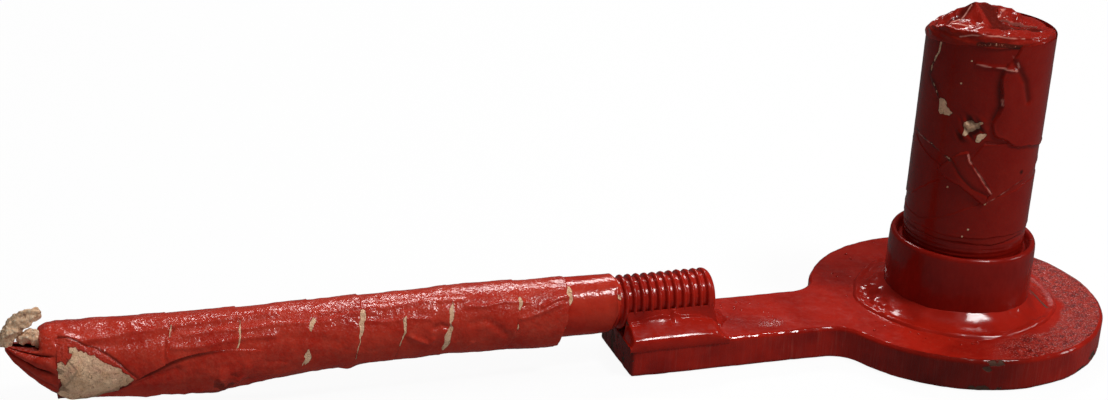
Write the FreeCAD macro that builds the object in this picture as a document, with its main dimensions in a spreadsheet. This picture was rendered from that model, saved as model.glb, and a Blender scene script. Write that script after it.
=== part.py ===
import FreeCAD, Part

import math
import os
import re

import Sketcher
from FreeCAD import Placement, Rotation, Vector

# A shop-made fire hydrant wrench. A flame-cut plate, round at one end and a straight arm at the
# other, carries half a pipe coupling. A pipe stub is screwed into the coupling, and the pentagon
# socket that turns the hydrant's nut sits in the stub's free end. A threaded round bar is welded
# along the arm as the handle. The stub and the bar are wound in masking tape, painted over.
#
# Frame: millimetres, +Z up, origin on the stub's axis at the plate's underside. The arm and the
# handle run towards -X, and -Y is the front.

DIMENSIONS = {
    # plate
    "head_radius": 74.5,
    "plate_thickness": 16.5,
    "arm_width": 44.0,
    "arm_end": 183.5,
    "neck_fillet": 16.0,
    "edge_round": 1.2,
    # half coupling and its weld
    "coupling_radius": 36.5,
    "coupling_height": 35.2,
    "coupling_rim_round": 1.8,
    "recess_radius": 33.2,
    "recess_depth": 8.0,
    "recess_bevel": 2.0,
    "coupling_weld_leg": 16.0,
    "coupling_weld_height": 7.5,
    "coupling_weld_lip": 1.8,
    # pipe stub
    "pipe_radius": 30.15,
    "pipe_wall": 3.9,
    "pipe_top": 150.0,
    "pipe_foot_gap": 2.0,
    "pipe_thread_radius": 29.5,
    "pipe_thread_pitch": 2.2,
    "pipe_thread_depth": 0.8,
    "pipe_bare_threads": 3,
    # pentagon socket in the stub's mouth
    "nut_point_to_flat": 38.9,
    "socket_length": 38.0,
    "socket_setback": 2.5,
    "socket_weld_leg": 2.0,
    # handle bar and its welds
    "rod_radius": 13.0,
    "rod_start": 136.0,
    "rod_end": 446.0,
    "rod_offset": 1.85,
    "rod_chamfer": 2.0,
    "thread_pitch": 4.233,
    "thread_depth": 1.7,
    "thread_end": 190.0,
    "handle_weld_gap": 5.0,
    "handle_weld_front": 23.5,
    "handle_weld_rear": 18.0,
    "handle_weld_drop": 2.6,
    "handle_weld_toe": 1.4,
    "handle_weld_round": 1.0,
    "end_weld_radius": 11.0,
    "end_weld_height": 9.0,
    # tape on the handle
    "grip_start": 187.5,
    "grip_base_end": 444.0,
    "grip_base_radius": 14.2,
    "wrap_start": 214.7,
    "wrap_radius": 15.9,
    "wrap_growth": 0.12,
    "wrap_drop": 1.4,
    "wrap_sag": 0.1,
    "fold_end": 441.0,
    "fold_full": 384.0,
    "fold_lip": 2.9,
    "bare_flap_radius": 17.7,
    "gather_tip": 470.0,
    "gather_rise": 7.0,
    "tail_end": 452.0,
    "tail_rise": 23.0,
    "tail_radius": 3.6,
    # tape on the stub
    "tape_low": 57.0,
    "tape_base_radius": 30.55,
    "tape_band_radius": 31.0,
    "tape_strip_radius": 31.45,
    "lower_band_low": 60.0,
    "lower_band_high": 103.0,
    "upper_band_high": 149.0,
    "strip_width": 19.0,
    "flap_low": 107.0,
    "cap_low": 146.0,
    "cap_shoulder": 154.5,
    "cap_lean": 4.5,
    "cap_knee": 27.5,
    "cap_knee_height": 163.5,
    "cap_peak": 172.8,
    "cap_ridge": 8.5,
    "cap_ridge_tilt": 0.5,
    "cap_skin": 1.3,
}

# Where each hand-wound turn of tape on the handle ends, from the stub's axis.
TURN_ENDS = (237.0, 270.0, 293.0, 313.0, 336.5, 369.0, 400.0, 452.0)

doc = FreeCAD.newDocument("hydrant_wrench")


def make_sheet():
    """The spreadsheet that every size is bound to."""
    sheet = doc.addObject("Spreadsheet::Sheet", "dims")
    sizes = dict(DIMENSIONS)
    sizes.update({f"turn_end_{n}": end for n, end in enumerate(TURN_ENDS, 1)})
    for row, (alias, size) in enumerate(sizes.items(), 1):
        sheet.set(f"A{row}", alias)
        sheet.set(f"B{row}", str(size))
        sheet.setAlias(f"B{row}", alias)
    doc.recompute()
    return sheet


dims = make_sheet()


def size(expression):
    """The number that an expression of sheet aliases stands for."""
    return float(dims.evalExpression(str(expression)))


def bound(expression):
    """The same expression as an object of the document reads it."""
    return re.sub(r"\b([a-z]+_[a-z0-9_]+)\b", r"dims.\1", str(expression))


def bind(thing, prop, expression):
    thing.setExpression(prop, bound(expression))


# ---- how pieces are made ------------------------------------------------------------------


def new_body(label, on_handle=False):
    """A body of its own. On the handle, its X runs out along the bar's axis, away from the stub."""
    body = doc.addObject("PartDesign::Body", label)
    body.Label = label
    if on_handle:
        body.Placement = Placement(Vector(0, 0, 0), Rotation(Vector(0, 0, 1), 180))
        bind(body, "Placement.Base.y", "rod_offset")
        bind(body, "Placement.Base.z", "plate_thickness + rod_radius")
    return body


def origin_feature(body, role):
    return next(f for f in body.Origin.OriginFeatures if f.Role == role)


def new_sketch(body, name, plane, away="0"):
    sketch = body.newObject("Sketcher::SketchObject", name)
    sketch.AttachmentSupport = [(origin_feature(body, plane), "")]
    sketch.MapMode = "FlatFace"
    bind(sketch, "AttachmentOffset.Base.z", away)
    return sketch


def draw_outline(sketch, corners):
    """A closed polygon whose corners are pairs of sheet expressions."""
    places = [(size(x), size(y)) for x, y in corners]
    first = sketch.GeometryCount
    count = len(places)
    for here, there in zip(places, places[1:] + places[:1]):
        sketch.addGeometry(Part.LineSegment(Vector(*here, 0), Vector(*there, 0)), False)
    for k in range(count):
        join = Sketcher.Constraint("Coincident", first + k, 2, first + (k + 1) % count, 1)
        sketch.addConstraint(join)
    for k, (corner, place) in enumerate(zip(corners, places)):
        for kind, axis, expression, at in zip(("DistanceX", "DistanceY"), (-2, -1), corner, place):
            if expression == "0":
                sketch.addConstraint(Sketcher.Constraint("PointOnObject", first + k, 1, axis))
                continue
            fixed = sketch.addConstraint(Sketcher.Constraint(kind, -1, 1, first + k, 1, at))
            sketch.renameConstraint(fixed, f"{kind}{k}")
            bind(sketch, f"Constraints.{kind}{k}", expression)


def draw_circle(sketch, radius, down="0"):
    """A circle on the sketch's vertical axis, its centre that far below the origin."""
    circle = Part.Circle(Vector(0, -size(down), 0), Vector(0, 0, 1), size(radius))
    index = sketch.addGeometry(circle, False)
    sketch.addConstraint(Sketcher.Constraint("PointOnObject", index, 3, -2))
    if down == "0":
        sketch.addConstraint(Sketcher.Constraint("PointOnObject", index, 3, -1))
    else:
        drop = sketch.addConstraint(Sketcher.Constraint("DistanceY", index, 3, -1, 1, size(down)))
        sketch.renameConstraint(drop, f"Drop{index}")
        bind(sketch, f"Constraints.Drop{index}", down)
    wide = sketch.addConstraint(Sketcher.Constraint("Radius", index, size(radius)))
    sketch.renameConstraint(wide, f"Radius{index}")
    bind(sketch, f"Constraints.Radius{index}", radius)


def revolve(body, name, corners, axis, cut=False):
    """Turns an outline on the XZ plane about one of the body's axes."""
    sketch = new_sketch(body, f"{name}_outline", "XZ_Plane")
    draw_outline(sketch, corners)
    kind = "PartDesign::Groove" if cut else "PartDesign::Revolution"
    turned = body.newObject(kind, name)
    turned.Profile = sketch
    turned.ReferenceAxis = (origin_feature(body, axis), [""])
    turned.Angle = 360
    doc.recompute()
    return turned


def pad(body, name, sketch, length):
    padded = body.newObject("PartDesign::Pad", name)
    padded.Profile = sketch
    bind(padded, "Length", length)
    doc.recompute()
    return padded


def round_edges(body, name, base, radius, chosen):
    """A fillet on the edges of the feature that the test picks."""
    edges = [f"Edge{n}" for n, e in enumerate(base.Shape.Edges, 1) if chosen(e.BoundBox)]
    fillet = body.newObject("PartDesign::Fillet", name)
    fillet.Base = (base, edges)
    bind(fillet, "Radius", radius)
    doc.recompute()
    return fillet


def flat_at(height):
    """Picks edges that lie level at that height."""
    return lambda box: box.ZLength < 1e-6 and abs(box.ZMin - height) < 1e-6


def placed_feature(label, shape, on_handle=False):
    """A shape made with Part's own functions, with its Placement set after it."""
    piece = doc.addObject("Part::Feature", label)
    piece.Label = label
    piece.Shape = shape
    if on_handle:
        middle = Vector(0, size("rod_offset"), size("plate_thickness + rod_radius"))
        piece.Placement = Placement(middle, Rotation(Vector(0, 0, 1), 180))
    return piece


def tube(radius_in, radius_out, low, high):
    outer = Part.makeCylinder(radius_out, high - low, Vector(0, 0, low))
    return outer.cut(Part.makeCylinder(radius_in, high - low, Vector(0, 0, low)))


def on_circle(radius, degrees, centre=(0.0, 0.0)):
    angle = math.radians(degrees)
    return centre[0] + radius * math.cos(angle), centre[1] + radius * math.sin(angle)


# ---- plate, coupling and stub -------------------------------------------------------------


def make_head_plate():
    """Disk and arm in one flame-cut piece. The arm is drawn along +X and the body turned round."""
    body = new_body("head_plate")
    body.Placement = Placement(Vector(0, 0, 0), Rotation(Vector(0, 0, 1), 180))
    arm = new_sketch(body, "arm_outline", "XY_Plane")
    half = "arm_width / 2"
    draw_outline(arm, [("0", f"-{half}"), ("arm_end", f"-{half}"), ("arm_end", half), ("0", half)])
    pad(body, "arm", arm, "plate_thickness")
    disk_sketch = new_sketch(body, "disk_outline", "XY_Plane")
    draw_circle(disk_sketch, "head_radius")
    disk = pad(body, "disk", disk_sketch, "plate_thickness")

    def at_neck(box):
        return box.XLength < 1e-6 and box.YLength < 1e-6 and box.XMax < size("arm_end") - 1

    neck = round_edges(body, "neck", disk, "neck_fillet", at_neck)
    rims = (flat_at(0.0), flat_at(size("plate_thickness")))
    round_edges(body, "rim", neck, "edge_round", lambda box: any(rim(box) for rim in rims))


def make_coupling():
    """Half a pipe coupling: threaded bore below, and a recess with a bevelled lip at the mouth."""
    body = new_body("pipe_coupling")
    top = "plate_thickness + coupling_height"
    ring = revolve(
        body,
        "coupling_ring",
        [
            ("pipe_thread_radius", "plate_thickness"),
            ("coupling_radius", "plate_thickness"),
            ("coupling_radius", top),
            ("recess_radius + recess_bevel / 2", top),
            ("recess_radius", f"{top} - recess_bevel"),
            ("recess_radius", f"{top} - recess_depth"),
            ("pipe_thread_radius", f"{top} - recess_depth - recess_bevel"),
        ],
        "Z_Axis",
    )

    def outer_rim(box):
        return flat_at(size(top))(box) and box.XLength > 2 * size("coupling_radius") - 1e-3

    round_edges(body, "coupling_rim", ring, "coupling_rim_round", outer_rim)


def make_coupling_weld():
    """The weld round the coupling's foot: several passes, spread into a wide apron with a lip."""
    body = new_body("coupling_weld")
    foot, wall = "plate_thickness", "coupling_radius"
    ring = revolve(
        body,
        "coupling_bead",
        [
            (wall, foot),
            (f"{wall} + coupling_weld_leg", foot),
            (f"{wall} + coupling_weld_leg * 0.9", f"{foot} + coupling_weld_lip"),
            (f"{wall} + coupling_weld_leg * 0.35", f"{foot} + coupling_weld_height * 0.45"),
            (wall, f"{foot} + coupling_weld_height"),
        ],
        "Z_Axis",
    )
    lip = size("plate_thickness + coupling_weld_lip")
    round_edges(body, "coupling_bead_lip", ring, "coupling_weld_lip * 0.6", flat_at(lip))


def make_socket_pipe():
    """The pipe stub. Its foot is threaded into the coupling and a few threads stay bare."""
    body = new_body("socket_pipe")
    foot = "plate_thickness + pipe_foot_gap"
    mouth = "plate_thickness + coupling_height - recess_depth - recess_bevel"
    inside = "pipe_radius - pipe_wall"
    revolve(
        body,
        "pipe_wall_ring",
        [
            (inside, foot),
            ("pipe_thread_radius", foot),
            ("pipe_thread_radius", mouth),
            ("pipe_radius", f"{mouth} + pipe_radius - pipe_thread_radius"),
            ("pipe_radius", "pipe_top"),
            (inside, "pipe_top"),
        ],
        "Z_Axis",
    )
    groove_width = "pipe_thread_pitch * 0.35"
    for n in range(int(size("pipe_bare_threads"))):
        middle = f"plate_thickness + coupling_height - pipe_thread_pitch * {n - 0.4}"
        revolve(
            body,
            f"pipe_thread_{n + 1}",
            [
                ("pipe_radius - pipe_thread_depth", middle),
                ("pipe_radius + pipe_thread_depth", f"{middle} - {groove_width} * 2"),
                ("pipe_radius + pipe_thread_depth", f"{middle} + {groove_width} * 2"),
            ],
            "Z_Axis",
            cut=True,
        )


def make_pentagon_socket():
    """A round slug with a pentagon hole, set back from the pipe's mouth."""
    body = new_body("pentagon_socket")
    top = size("pipe_top - socket_setback")
    slug = new_sketch(body, "slug_outline", "XY_Plane", "pipe_top - socket_setback - socket_length")
    draw_circle(slug, "pipe_radius - pipe_wall")
    point = "nut_point_to_flat / (1 + cos(36 deg))"
    corners = [(f"{point} * cos({a} deg)", f"{point} * sin({a} deg)") for a in range(18, 378, 72)]
    draw_outline(slug, corners)
    solid = pad(body, "slug", slug, "socket_length")
    assert abs(solid.Shape.BoundBox.ZMax - top) < 1e-6


def make_socket_weld():
    """The seal weld between the pentagon slug and the pipe's wall."""
    body = new_body("socket_ring_weld")
    wall, seat = "pipe_radius - pipe_wall", "pipe_top - socket_setback"
    corners = [(wall, seat), (wall, f"{seat} + socket_weld_leg"), (f"{wall} - socket_weld_leg", seat)]
    revolve(body, "socket_bead", corners, "Z_Axis")


# ---- handle bar and its welds -------------------------------------------------------------


def make_handle_rod():
    """The threaded round bar. Its thread is a true helix from the welded end to under the tape."""
    body = new_body("handle_rod", on_handle=True)
    start, end, wide = "rod_start", "rod_end", "rod_radius"
    bar = revolve(
        body,
        "bar",
        [
            (start, "0"),
            (start, f"{wide} - rod_chamfer"),
            (f"{start} + rod_chamfer", wide),
            (f"{end} - rod_chamfer", wide),
            (end, f"{wide} - rod_chamfer"),
            (end, "0"),
        ],
        "X_Axis",
    )
    whole = bar.Shape.Volume
    groove = new_sketch(body, "thread_groove", "XZ_Plane")
    first = "rod_start - thread_pitch / 2"
    shoulder = (f"{first} - thread_pitch * 0.34", f"{first} + thread_pitch * 0.34")
    root = (f"{first} - thread_pitch * 0.17", f"{first} + thread_pitch * 0.17")
    over, floor = f"{wide} + thread_depth * 0.2", f"{wide} - thread_depth"
    wall = f"{wide} - thread_depth * 0.3"
    near_wall = (f"{first} - thread_pitch * 0.22", f"{first} + thread_pitch * 0.22")
    draw_outline(
        groove,
        [
            (shoulder[0], over),
            (near_wall[0], wall),
            (root[0], floor),
            (root[1], floor),
            (near_wall[1], wall),
            (shoulder[1], over),
        ],
    )
    thread = body.newObject("PartDesign::SubtractiveHelix", "thread")
    thread.Profile = groove
    thread.ReferenceAxis = (origin_feature(body, "X_Axis"), [""])
    thread.Mode = "pitch-height-angle"
    bind(thread, "Pitch", "thread_pitch")
    bind(thread, "Height", "thread_end - rod_start")
    thread.Reversed = False
    doc.recompute()
    assert thread.Shape.Volume < whole - 1, "the thread cut nothing"


def make_side_weld(label, reach, side):
    """A fillet weld along the bar, on one side of it. side is 1 at the front and -1 behind."""
    body = new_body(label, on_handle=True)
    section = new_sketch(body, f"{label}_section", "YZ_Plane", "rod_start")
    sign = "" if side > 0 else "-"
    plate = "-rod_radius"
    crest = "-handle_weld_drop"
    draw_outline(
        section,
        [
            (f"{sign}handle_weld_gap", plate),
            (f"{sign}{reach}", plate),
            (f"{sign}{reach}", f"{plate} + handle_weld_toe"),
            (f"{sign}(rod_radius + 1)", crest),
            (f"{sign}handle_weld_gap", crest),
        ],
    )
    bead = pad(body, f"{label}_bead", section, "arm_end - rod_start")

    def crest_line(box):
        return box.XLength > 1 and abs(box.ZMin - size(crest)) < 1e-6 and abs(box.YMin) > 12

    rounded = round_edges(body, f"{label}_crest", bead, "handle_weld_round", crest_line)
    whole = rounded.Shape.Volume
    reach_in, reach_out = "rod_start - 1", "arm_end + 1"
    seat = revolve(
        body,
        f"{label}_seat",
        [(reach_in, "0"), (reach_out, "0"), (reach_out, "rod_radius"), (reach_in, "rod_radius")],
        "X_Axis",
        cut=True,
    )
    assert seat.Shape.Volume < whole - 1, "the bar's seat cut nothing"


def make_end_weld():
    """The weld across the bar's near end: half a cone on the plate."""
    cone = doc.addObject("Part::Cone", "handle_end_weld")
    cone.Label = "handle_end_weld"
    cone.Placement = Placement(Vector(0, 0, 0), Rotation(Vector(0, 0, 1), -90))
    cone.Angle = 180
    bind(cone, "Radius1", "end_weld_radius")
    bind(cone, "Radius2", "end_weld_radius / 4")
    bind(cone, "Height", "end_weld_height")
    bind(cone, "Placement.Base.x", "-rod_start")
    bind(cone, "Placement.Base.y", "rod_offset")
    bind(cone, "Placement.Base.z", "plate_thickness")


# ---- tape on the handle -------------------------------------------------------------------


def make_grip_base():
    """The first, tight layer of tape, which shows between the thread and the outer turns."""
    body = new_body("grip_base_tape", on_handle=True)
    start, end, inner, outer = "grip_start", "grip_base_end", "rod_radius", "grip_base_radius"
    revolve(body, "base_layer", [(start, inner), (end, inner), (end, outer), (start, outer)], "X_Axis")


def turn_radius(n):
    return f"wrap_radius + wrap_growth * {n}"


def turn_drop(n):
    return f"wrap_drop + wrap_sag * {n}"


def make_grip_turns():
    """The outer turns. Each sags a little below the bar, more so towards the free end."""
    begin = "wrap_start"
    for n in range(1, len(TURN_ENDS) + 1):
        body = new_body(f"grip_tape_turn_{n}", on_handle=True)
        section = new_sketch(body, f"turn_{n}_section", "YZ_Plane", begin)
        draw_circle(section, turn_radius(n), turn_drop(n))
        if n < len(TURN_ENDS):
            draw_circle(section, "grip_base_radius")
        else:
            draw_circle(section, "grip_base_radius + 0.2")
        pad(body, f"turn_{n}", section, f"turn_end_{n} - {begin}")
        begin = f"turn_end_{n}"


def turns_envelope():
    """The outer turns as full cylinders, for fitting what lies on them."""
    begin, stack = size("wrap_start"), []
    for n, end in enumerate(TURN_ENDS, 1):
        middle = Vector(begin, 0, -size(turn_drop(n)))
        stack.append(Part.makeCylinder(size(turn_radius(n)), end - begin, middle, Vector(1, 0, 0)))
        begin = end
    return stack[0].fuse(stack[1:])


def fold_section(along, lip):
    """A lens-shaped section of the loose edge under the front of the grip."""
    root, around = size("wrap_radius") - 0.6, size("wrap_drop")

    def place(radius, degrees):
        across, up = on_circle(radius, degrees, (0.0, -around))
        return Vector(along, across, up)

    out = Part.Arc(place(root, 0), place(size("wrap_radius") + lip, -62), place(root, -125))
    back = Part.Arc(place(root, -125), place(root - 1, -62), place(root, 0))
    return Part.Wire([out.toShape(), back.toShape()])


def make_grip_fold():
    """The sheet's loose long edge, folded over the lower front of the turns."""
    lip = size("fold_lip")
    stations = (("wrap_start", 0.55), ("fold_full - 60", 0.75), ("fold_full", 1.25), ("fold_end", 1.0))
    wires = [fold_section(size(along), lip * share) for along, share in stations]
    shape = Part.makeLoft(wires, True, False).cut(turns_envelope())
    solids = sorted(shape.Solids, key=lambda s: s.Volume)
    placed_feature("grip_paper_fold", solids[-1], on_handle=True)


def make_bare_flap():
    """A torn corner of unpainted paper at the free end, lying on the last turn and the fold."""
    corners = ((446.0, 8.0), (438.0, 9.5), (425.0, 1.0), (412.0, -7.5), (440.0, -8.5), (446.5, -6.0))
    depth = size("bare_flap_radius") + 4
    face = Part.Face(Part.makePolygon([Vector(x, 0, z) for x, z in corners + corners[:1]]))
    prism = face.extrude(Vector(0, depth, 0))
    drop = size(turn_drop(len(TURN_ENDS)))
    base = Vector(size("wrap_start"), 0, -drop)
    length = TURN_ENDS[-1] - size("wrap_start")
    skin = Part.makeCylinder(size("bare_flap_radius") + 0.9, length, base, Vector(1, 0, 0))
    shape = prism.common(skin).cut(turns_envelope())
    fold = doc.getObject("grip_paper_fold")
    fold_shape = fold.Shape.copy()
    fold_shape.Placement = Placement()
    shape = shape.cut(fold_shape)
    solids = sorted(shape.Solids, key=lambda s: s.Volume)
    placed_feature("grip_bare_flap", solids[-1], on_handle=True)


def ellipse_wire(centre, normal, wide, tall):
    """A closed elliptic section, its longer axis across the handle."""
    circle = Part.Ellipse(Vector(0, 0, 0), max(wide, tall), min(wide, tall)).toShape()
    wire = Part.Wire([circle])
    across = Vector(0, 1, 0) if wide >= tall else normal.cross(Vector(0, 1, 0))
    wire.Placement = Placement(centre, Rotation(across, normal.cross(across), normal, "XYZ"))
    return wire


def make_grip_gather():
    """The wrap's end, gathered from its lower half towards the tail."""
    start, tip, rise = TURN_ENDS[-1], size("gather_tip"), size("gather_rise")
    forward = Vector(1, 0, 0)
    wires = [
        ellipse_wire(Vector(start, 0, -7.0), forward, 14.0, 10.0),
        ellipse_wire(Vector(start + 9.0, 0, -2.5), forward, 8.5, 7.0),
        ellipse_wire(Vector(tip, 0, rise), forward, 4.0, 3.4),
    ]
    placed_feature("grip_end_gather", Part.makeLoft(wires, True, False), on_handle=True)


def make_grip_tail():
    """The twisted end of the tape, which stands up from the gather and leans back."""
    radius = size("tail_radius")
    low = Vector(size("gather_tip"), 0, size("gather_rise") + 3.6)
    high = Vector(size("tail_end"), 0, size("tail_rise"))
    lean = (high - low).normalize()
    bow = Vector(lean.z, 0, -lean.x) * 1.2
    places = ((0.0, 0.85), (0.5, 1.05), (0.9, 1.0), (1.0, 0.6))
    wires = []
    for share, thickness in places:
        centre = low + (high - low) * share + bow * (math.sin(math.pi * share))
        wires.append(ellipse_wire(centre, lean, radius * thickness * 1.1, radius * thickness * 0.9))
    tail = Part.makeLoft(wires, True, False)
    gather = doc.getObject("grip_end_gather").Shape.copy()
    gather.Placement = Placement()
    placed_feature("grip_tail_twist", tail.cut(gather), on_handle=True)


# ---- tape on the stub ---------------------------------------------------------------------


def make_tape_tube(label, inner, outer, low, high):
    body = new_body(label)
    revolve(body, f"{label}_layer", [(inner, low), (outer, low), (outer, high), (inner, high)], "Z_Axis")


def make_cross_strip(label, lean, height, first, last, top):
    """A slanting strip over part of the stub, cut from a thin tube by two parallel planes."""
    wide = size("strip_width")
    outer = size("tape_strip_radius")
    shell = tube(size("tape_band_radius"), outer, size("tape_low"), top)
    reach = 4 * outer
    middle = math.radians((first + last) / 2)
    facing = Vector(math.cos(middle), math.sin(middle), 0)
    slab = Part.makeBox(reach, reach, wide, Vector(-reach / 2, -reach / 2, -wide / 2))
    slab.Placement = Placement(Vector(0, 0, height), Rotation(facing, lean))
    wedge = Part.makeCylinder(reach, 2 * size("pipe_top"), Vector(), Vector(0, 0, 1), last - first)
    wedge.Placement = Placement(Vector(), Rotation(Vector(0, 0, 1), first))
    placed_feature(label, shell.common(slab).common(wedge))


def make_side_flap():
    """The doubled upper layer on the stub's right front, which ends in a loose upright fold."""
    first, last = -103.0, 60.0
    inner, outer = size("tape_band_radius"), size("tape_strip_radius")
    shell = tube(inner, outer, size("flap_low"), size("cap_low"))
    wedge = Part.makeCylinder(2 * outer, 2 * size("pipe_top"), Vector(), Vector(0, 0, 1), last - first)
    wedge.Placement = Placement(Vector(), Rotation(Vector(0, 0, 1), first))
    placed_feature("stem_tape_side_flap", shell.common(wedge))


def polygon_ring(radius, height, rise=(0.0, 0.0), centre=(0.0, 0.0), squash=1.0, sides=20):
    """A many-sided ring. rise is how much its +X and +Y ends stand higher."""
    corners = []
    for n in range(sides + 1):
        x, y = on_circle(1.0, 360.0 * n / sides)
        lift = rise[0] * x + rise[1] * y
        place = (centre[0] + radius * x, centre[1] + radius * squash * y)
        corners.append(Vector(*place, height + lift))
    return Part.makePolygon(corners)


def tent(skin):
    """The crumpled cap's outer form, or its inner form one skin thickness inside.

    Its rim is higher in front, and it climbs to a ridge across the stub that falls to the right.
    """
    wide = size("tape_strip_radius") + 0.5 - skin
    shoulder, knee_height, peak = (size(f"{name} - {skin}") for name in ("cap_shoulder", "cap_knee_height", "cap_peak"))
    knee, ridge = size("cap_knee") - skin, size("cap_ridge") - skin
    tilt = size("cap_ridge_tilt")
    wires = [
        polygon_ring(wide, size("cap_low")),
        polygon_ring(wide, shoulder, (0.0, -size("cap_lean"))),
        polygon_ring(knee, knee_height, (-1.5, -1.0), (-2.5, 0.0), 0.62),
        polygon_ring(ridge, peak - tilt, (-tilt, 0.0), (-8.0, 0.0), 0.25),
    ]
    return Part.makeLoft(wires, True, True)


def make_tape_cap():
    """Tape folded over the stub's mouth into a ragged tent, hollow underneath."""
    clear = size("tape_strip_radius") - 0.15
    stub = Part.makeCylinder(clear, size("pipe_top"))
    shape = tent(0.0).cut(tent(size("cap_skin"))).cut(stub)
    solids = sorted(shape.Solids, key=lambda s: s.Volume)
    placed_feature("stem_tape_cap", solids[-1])


# ---- the whole part -----------------------------------------------------------------------


def build():
    make_head_plate()
    make_coupling()
    make_coupling_weld()
    make_socket_pipe()
    make_pentagon_socket()
    make_socket_weld()
    make_handle_rod()
    make_side_weld("handle_front_weld", "handle_weld_front", 1)
    make_side_weld("handle_rear_weld", "handle_weld_rear", -1)
    make_end_weld()
    make_grip_base()
    make_grip_turns()
    make_grip_fold()
    make_bare_flap()
    make_grip_gather()
    make_grip_tail()
    base, band = "tape_base_radius", "tape_band_radius"
    make_tape_tube("stem_tape_base", "pipe_radius", base, "tape_low", "upper_band_high")
    make_tape_tube("stem_tape_lower_band", base, band, "lower_band_low", "lower_band_high")
    make_tape_tube("stem_tape_upper_band", base, band, "lower_band_high", "upper_band_high")
    make_cross_strip("stem_tape_strip_left", -34.0, 92.0, -178.0, -104.0, size("upper_band_high"))
    make_cross_strip("stem_tape_strip_right", 24.0, 91.0, -104.0, -20.0, size("flap_low"))
    make_side_flap()
    make_tape_cap()
    doc.recompute()


def sub_parts():
    """Every object that is one sub-part: bodies, primitives and placed shapes."""
    kinds = ("PartDesign::Body", "Part::Cone", "Part::Feature")
    return [thing for thing in doc.Objects if thing.TypeId in kinds]


def check_and_write():
    for thing in doc.Objects:
        bad = {"Invalid", "Error"} & set(thing.State)
        assert not bad, f"{thing.Label} is {bad}"
    os.makedirs("parts", exist_ok=True)
    for piece in sub_parts():
        shape = piece.Shape
        assert not shape.isNull(), f"{piece.Label} has no shape"
        assert shape.isValid(), f"{piece.Label} has a broken shape"
        assert shape.Volume > 1, f"{piece.Label} has no volume"
        shape.exportStep(os.path.join("parts", f"{piece.Label}.step"))
        print(f"{piece.Label}: {len(shape.Solids)} solid(s), {shape.Volume / 1000:.2f} cm3")


build()
check_and_write()
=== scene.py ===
import functools
import itertools
import math

import bpy
import numpy as np
from mathutils import Matrix, Vector
from mathutils.geometry import delaunay_2d_cdt


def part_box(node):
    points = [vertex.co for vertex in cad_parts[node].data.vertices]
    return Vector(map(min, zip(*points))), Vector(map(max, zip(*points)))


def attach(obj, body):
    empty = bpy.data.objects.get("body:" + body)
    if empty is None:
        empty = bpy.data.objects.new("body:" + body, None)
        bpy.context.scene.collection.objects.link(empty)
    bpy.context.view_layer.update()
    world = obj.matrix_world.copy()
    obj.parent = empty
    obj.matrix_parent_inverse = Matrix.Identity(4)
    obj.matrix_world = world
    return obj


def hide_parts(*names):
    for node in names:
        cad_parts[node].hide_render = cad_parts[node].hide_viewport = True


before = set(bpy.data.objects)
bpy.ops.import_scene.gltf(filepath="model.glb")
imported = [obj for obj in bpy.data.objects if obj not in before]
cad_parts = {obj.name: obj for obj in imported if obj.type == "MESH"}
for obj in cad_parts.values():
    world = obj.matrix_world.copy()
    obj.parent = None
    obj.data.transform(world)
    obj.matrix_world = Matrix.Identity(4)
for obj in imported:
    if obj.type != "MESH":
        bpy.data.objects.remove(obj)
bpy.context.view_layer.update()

# Everything here is worked out in millimetres in the CAD's frame and turned into metres as each
# mesh is made: +Z up along the stub, -X along the arm and handle, -Y the front.
MM = 0.001
ROOT = "root"


def span(node):
    """The lowest and highest corner of a CAD node, in millimetres."""
    low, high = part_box(node)
    return np.array(low) / MM, np.array(high) / MM


PLATE_TOP = span("head_plate")[1][2]
HEAD_RADIUS = span("head_plate")[1][0]
ARM_TIP = -span("head_plate")[0][0]
ARM_HALF = 22.0
NECK_FILLET = 16.0
PLATE_EDGE = 1.8  # how far the plate's edges are worn back

# The corners of the plate's worn edge as (inset, height), in shares of PLATE_EDGE.
CHAMFER = ((1.0, 0.0), (0.60, 0.12), (0.48, 0.24), (0.24, 0.48), (0.12, 0.60), (0.0, 1.0))

COUPLING_RADIUS = span("pipe_coupling")[1][0]
COUPLING_TOP = span("pipe_coupling")[1][2]
WELD_RADIUS = span("coupling_weld")[1][0]
PIPE_RADIUS = 30.15
PIPE_WALL = 3.9
PIPE_FOOT = span("socket_pipe")[0][2]
PIPE_TOP = span("socket_pipe")[1][2]
TAPE_RADIUS = span("stem_tape_base")[1][0]
CAP_PEAK = span("stem_tape_cap")[1][2]

ROD_RADIUS = 13.0
ROD_Y = 1.85
ROD_Z = PLATE_TOP + ROD_RADIUS
ROD_START = -span("handle_front_weld")[1][0]
ROD_END = 446.0
THREAD_PITCH = 4.233  # six threads to the inch
THREAD_END = 192.0
GRIP_START = -span("grip_base_tape")[1][0]
WRAP_CLOSE = -span("grip_tape_turn_8")[0][0] - 5.0  # where the wrap's gathered end starts

FACING = -121.0  # the plan angle of the stub's side that the photo shows

# Distances round the handle's wrap and round the stub's tape are measured at these radii.
WRAP_MEAN = 16.5
STEM_MEAN = 31.0


# ---- fields -------------------------------------------------------------------------------


def smooth(low, high, x):
    """0 up to low, 1 from high, and a smooth step between. It falls where high is below low."""
    t = np.clip((x - low) / (high - low), 0.0, 1.0)
    return t * t * (3 - 2 * t)


def bell(*offsets):
    """1 where every offset is 0, and fading out beyond 1."""
    return np.exp(-sum(offset**2 for offset in offsets))


def highest(*fields):
    """The highest of several fields at each point."""
    return functools.reduce(np.maximum, fields)


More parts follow.
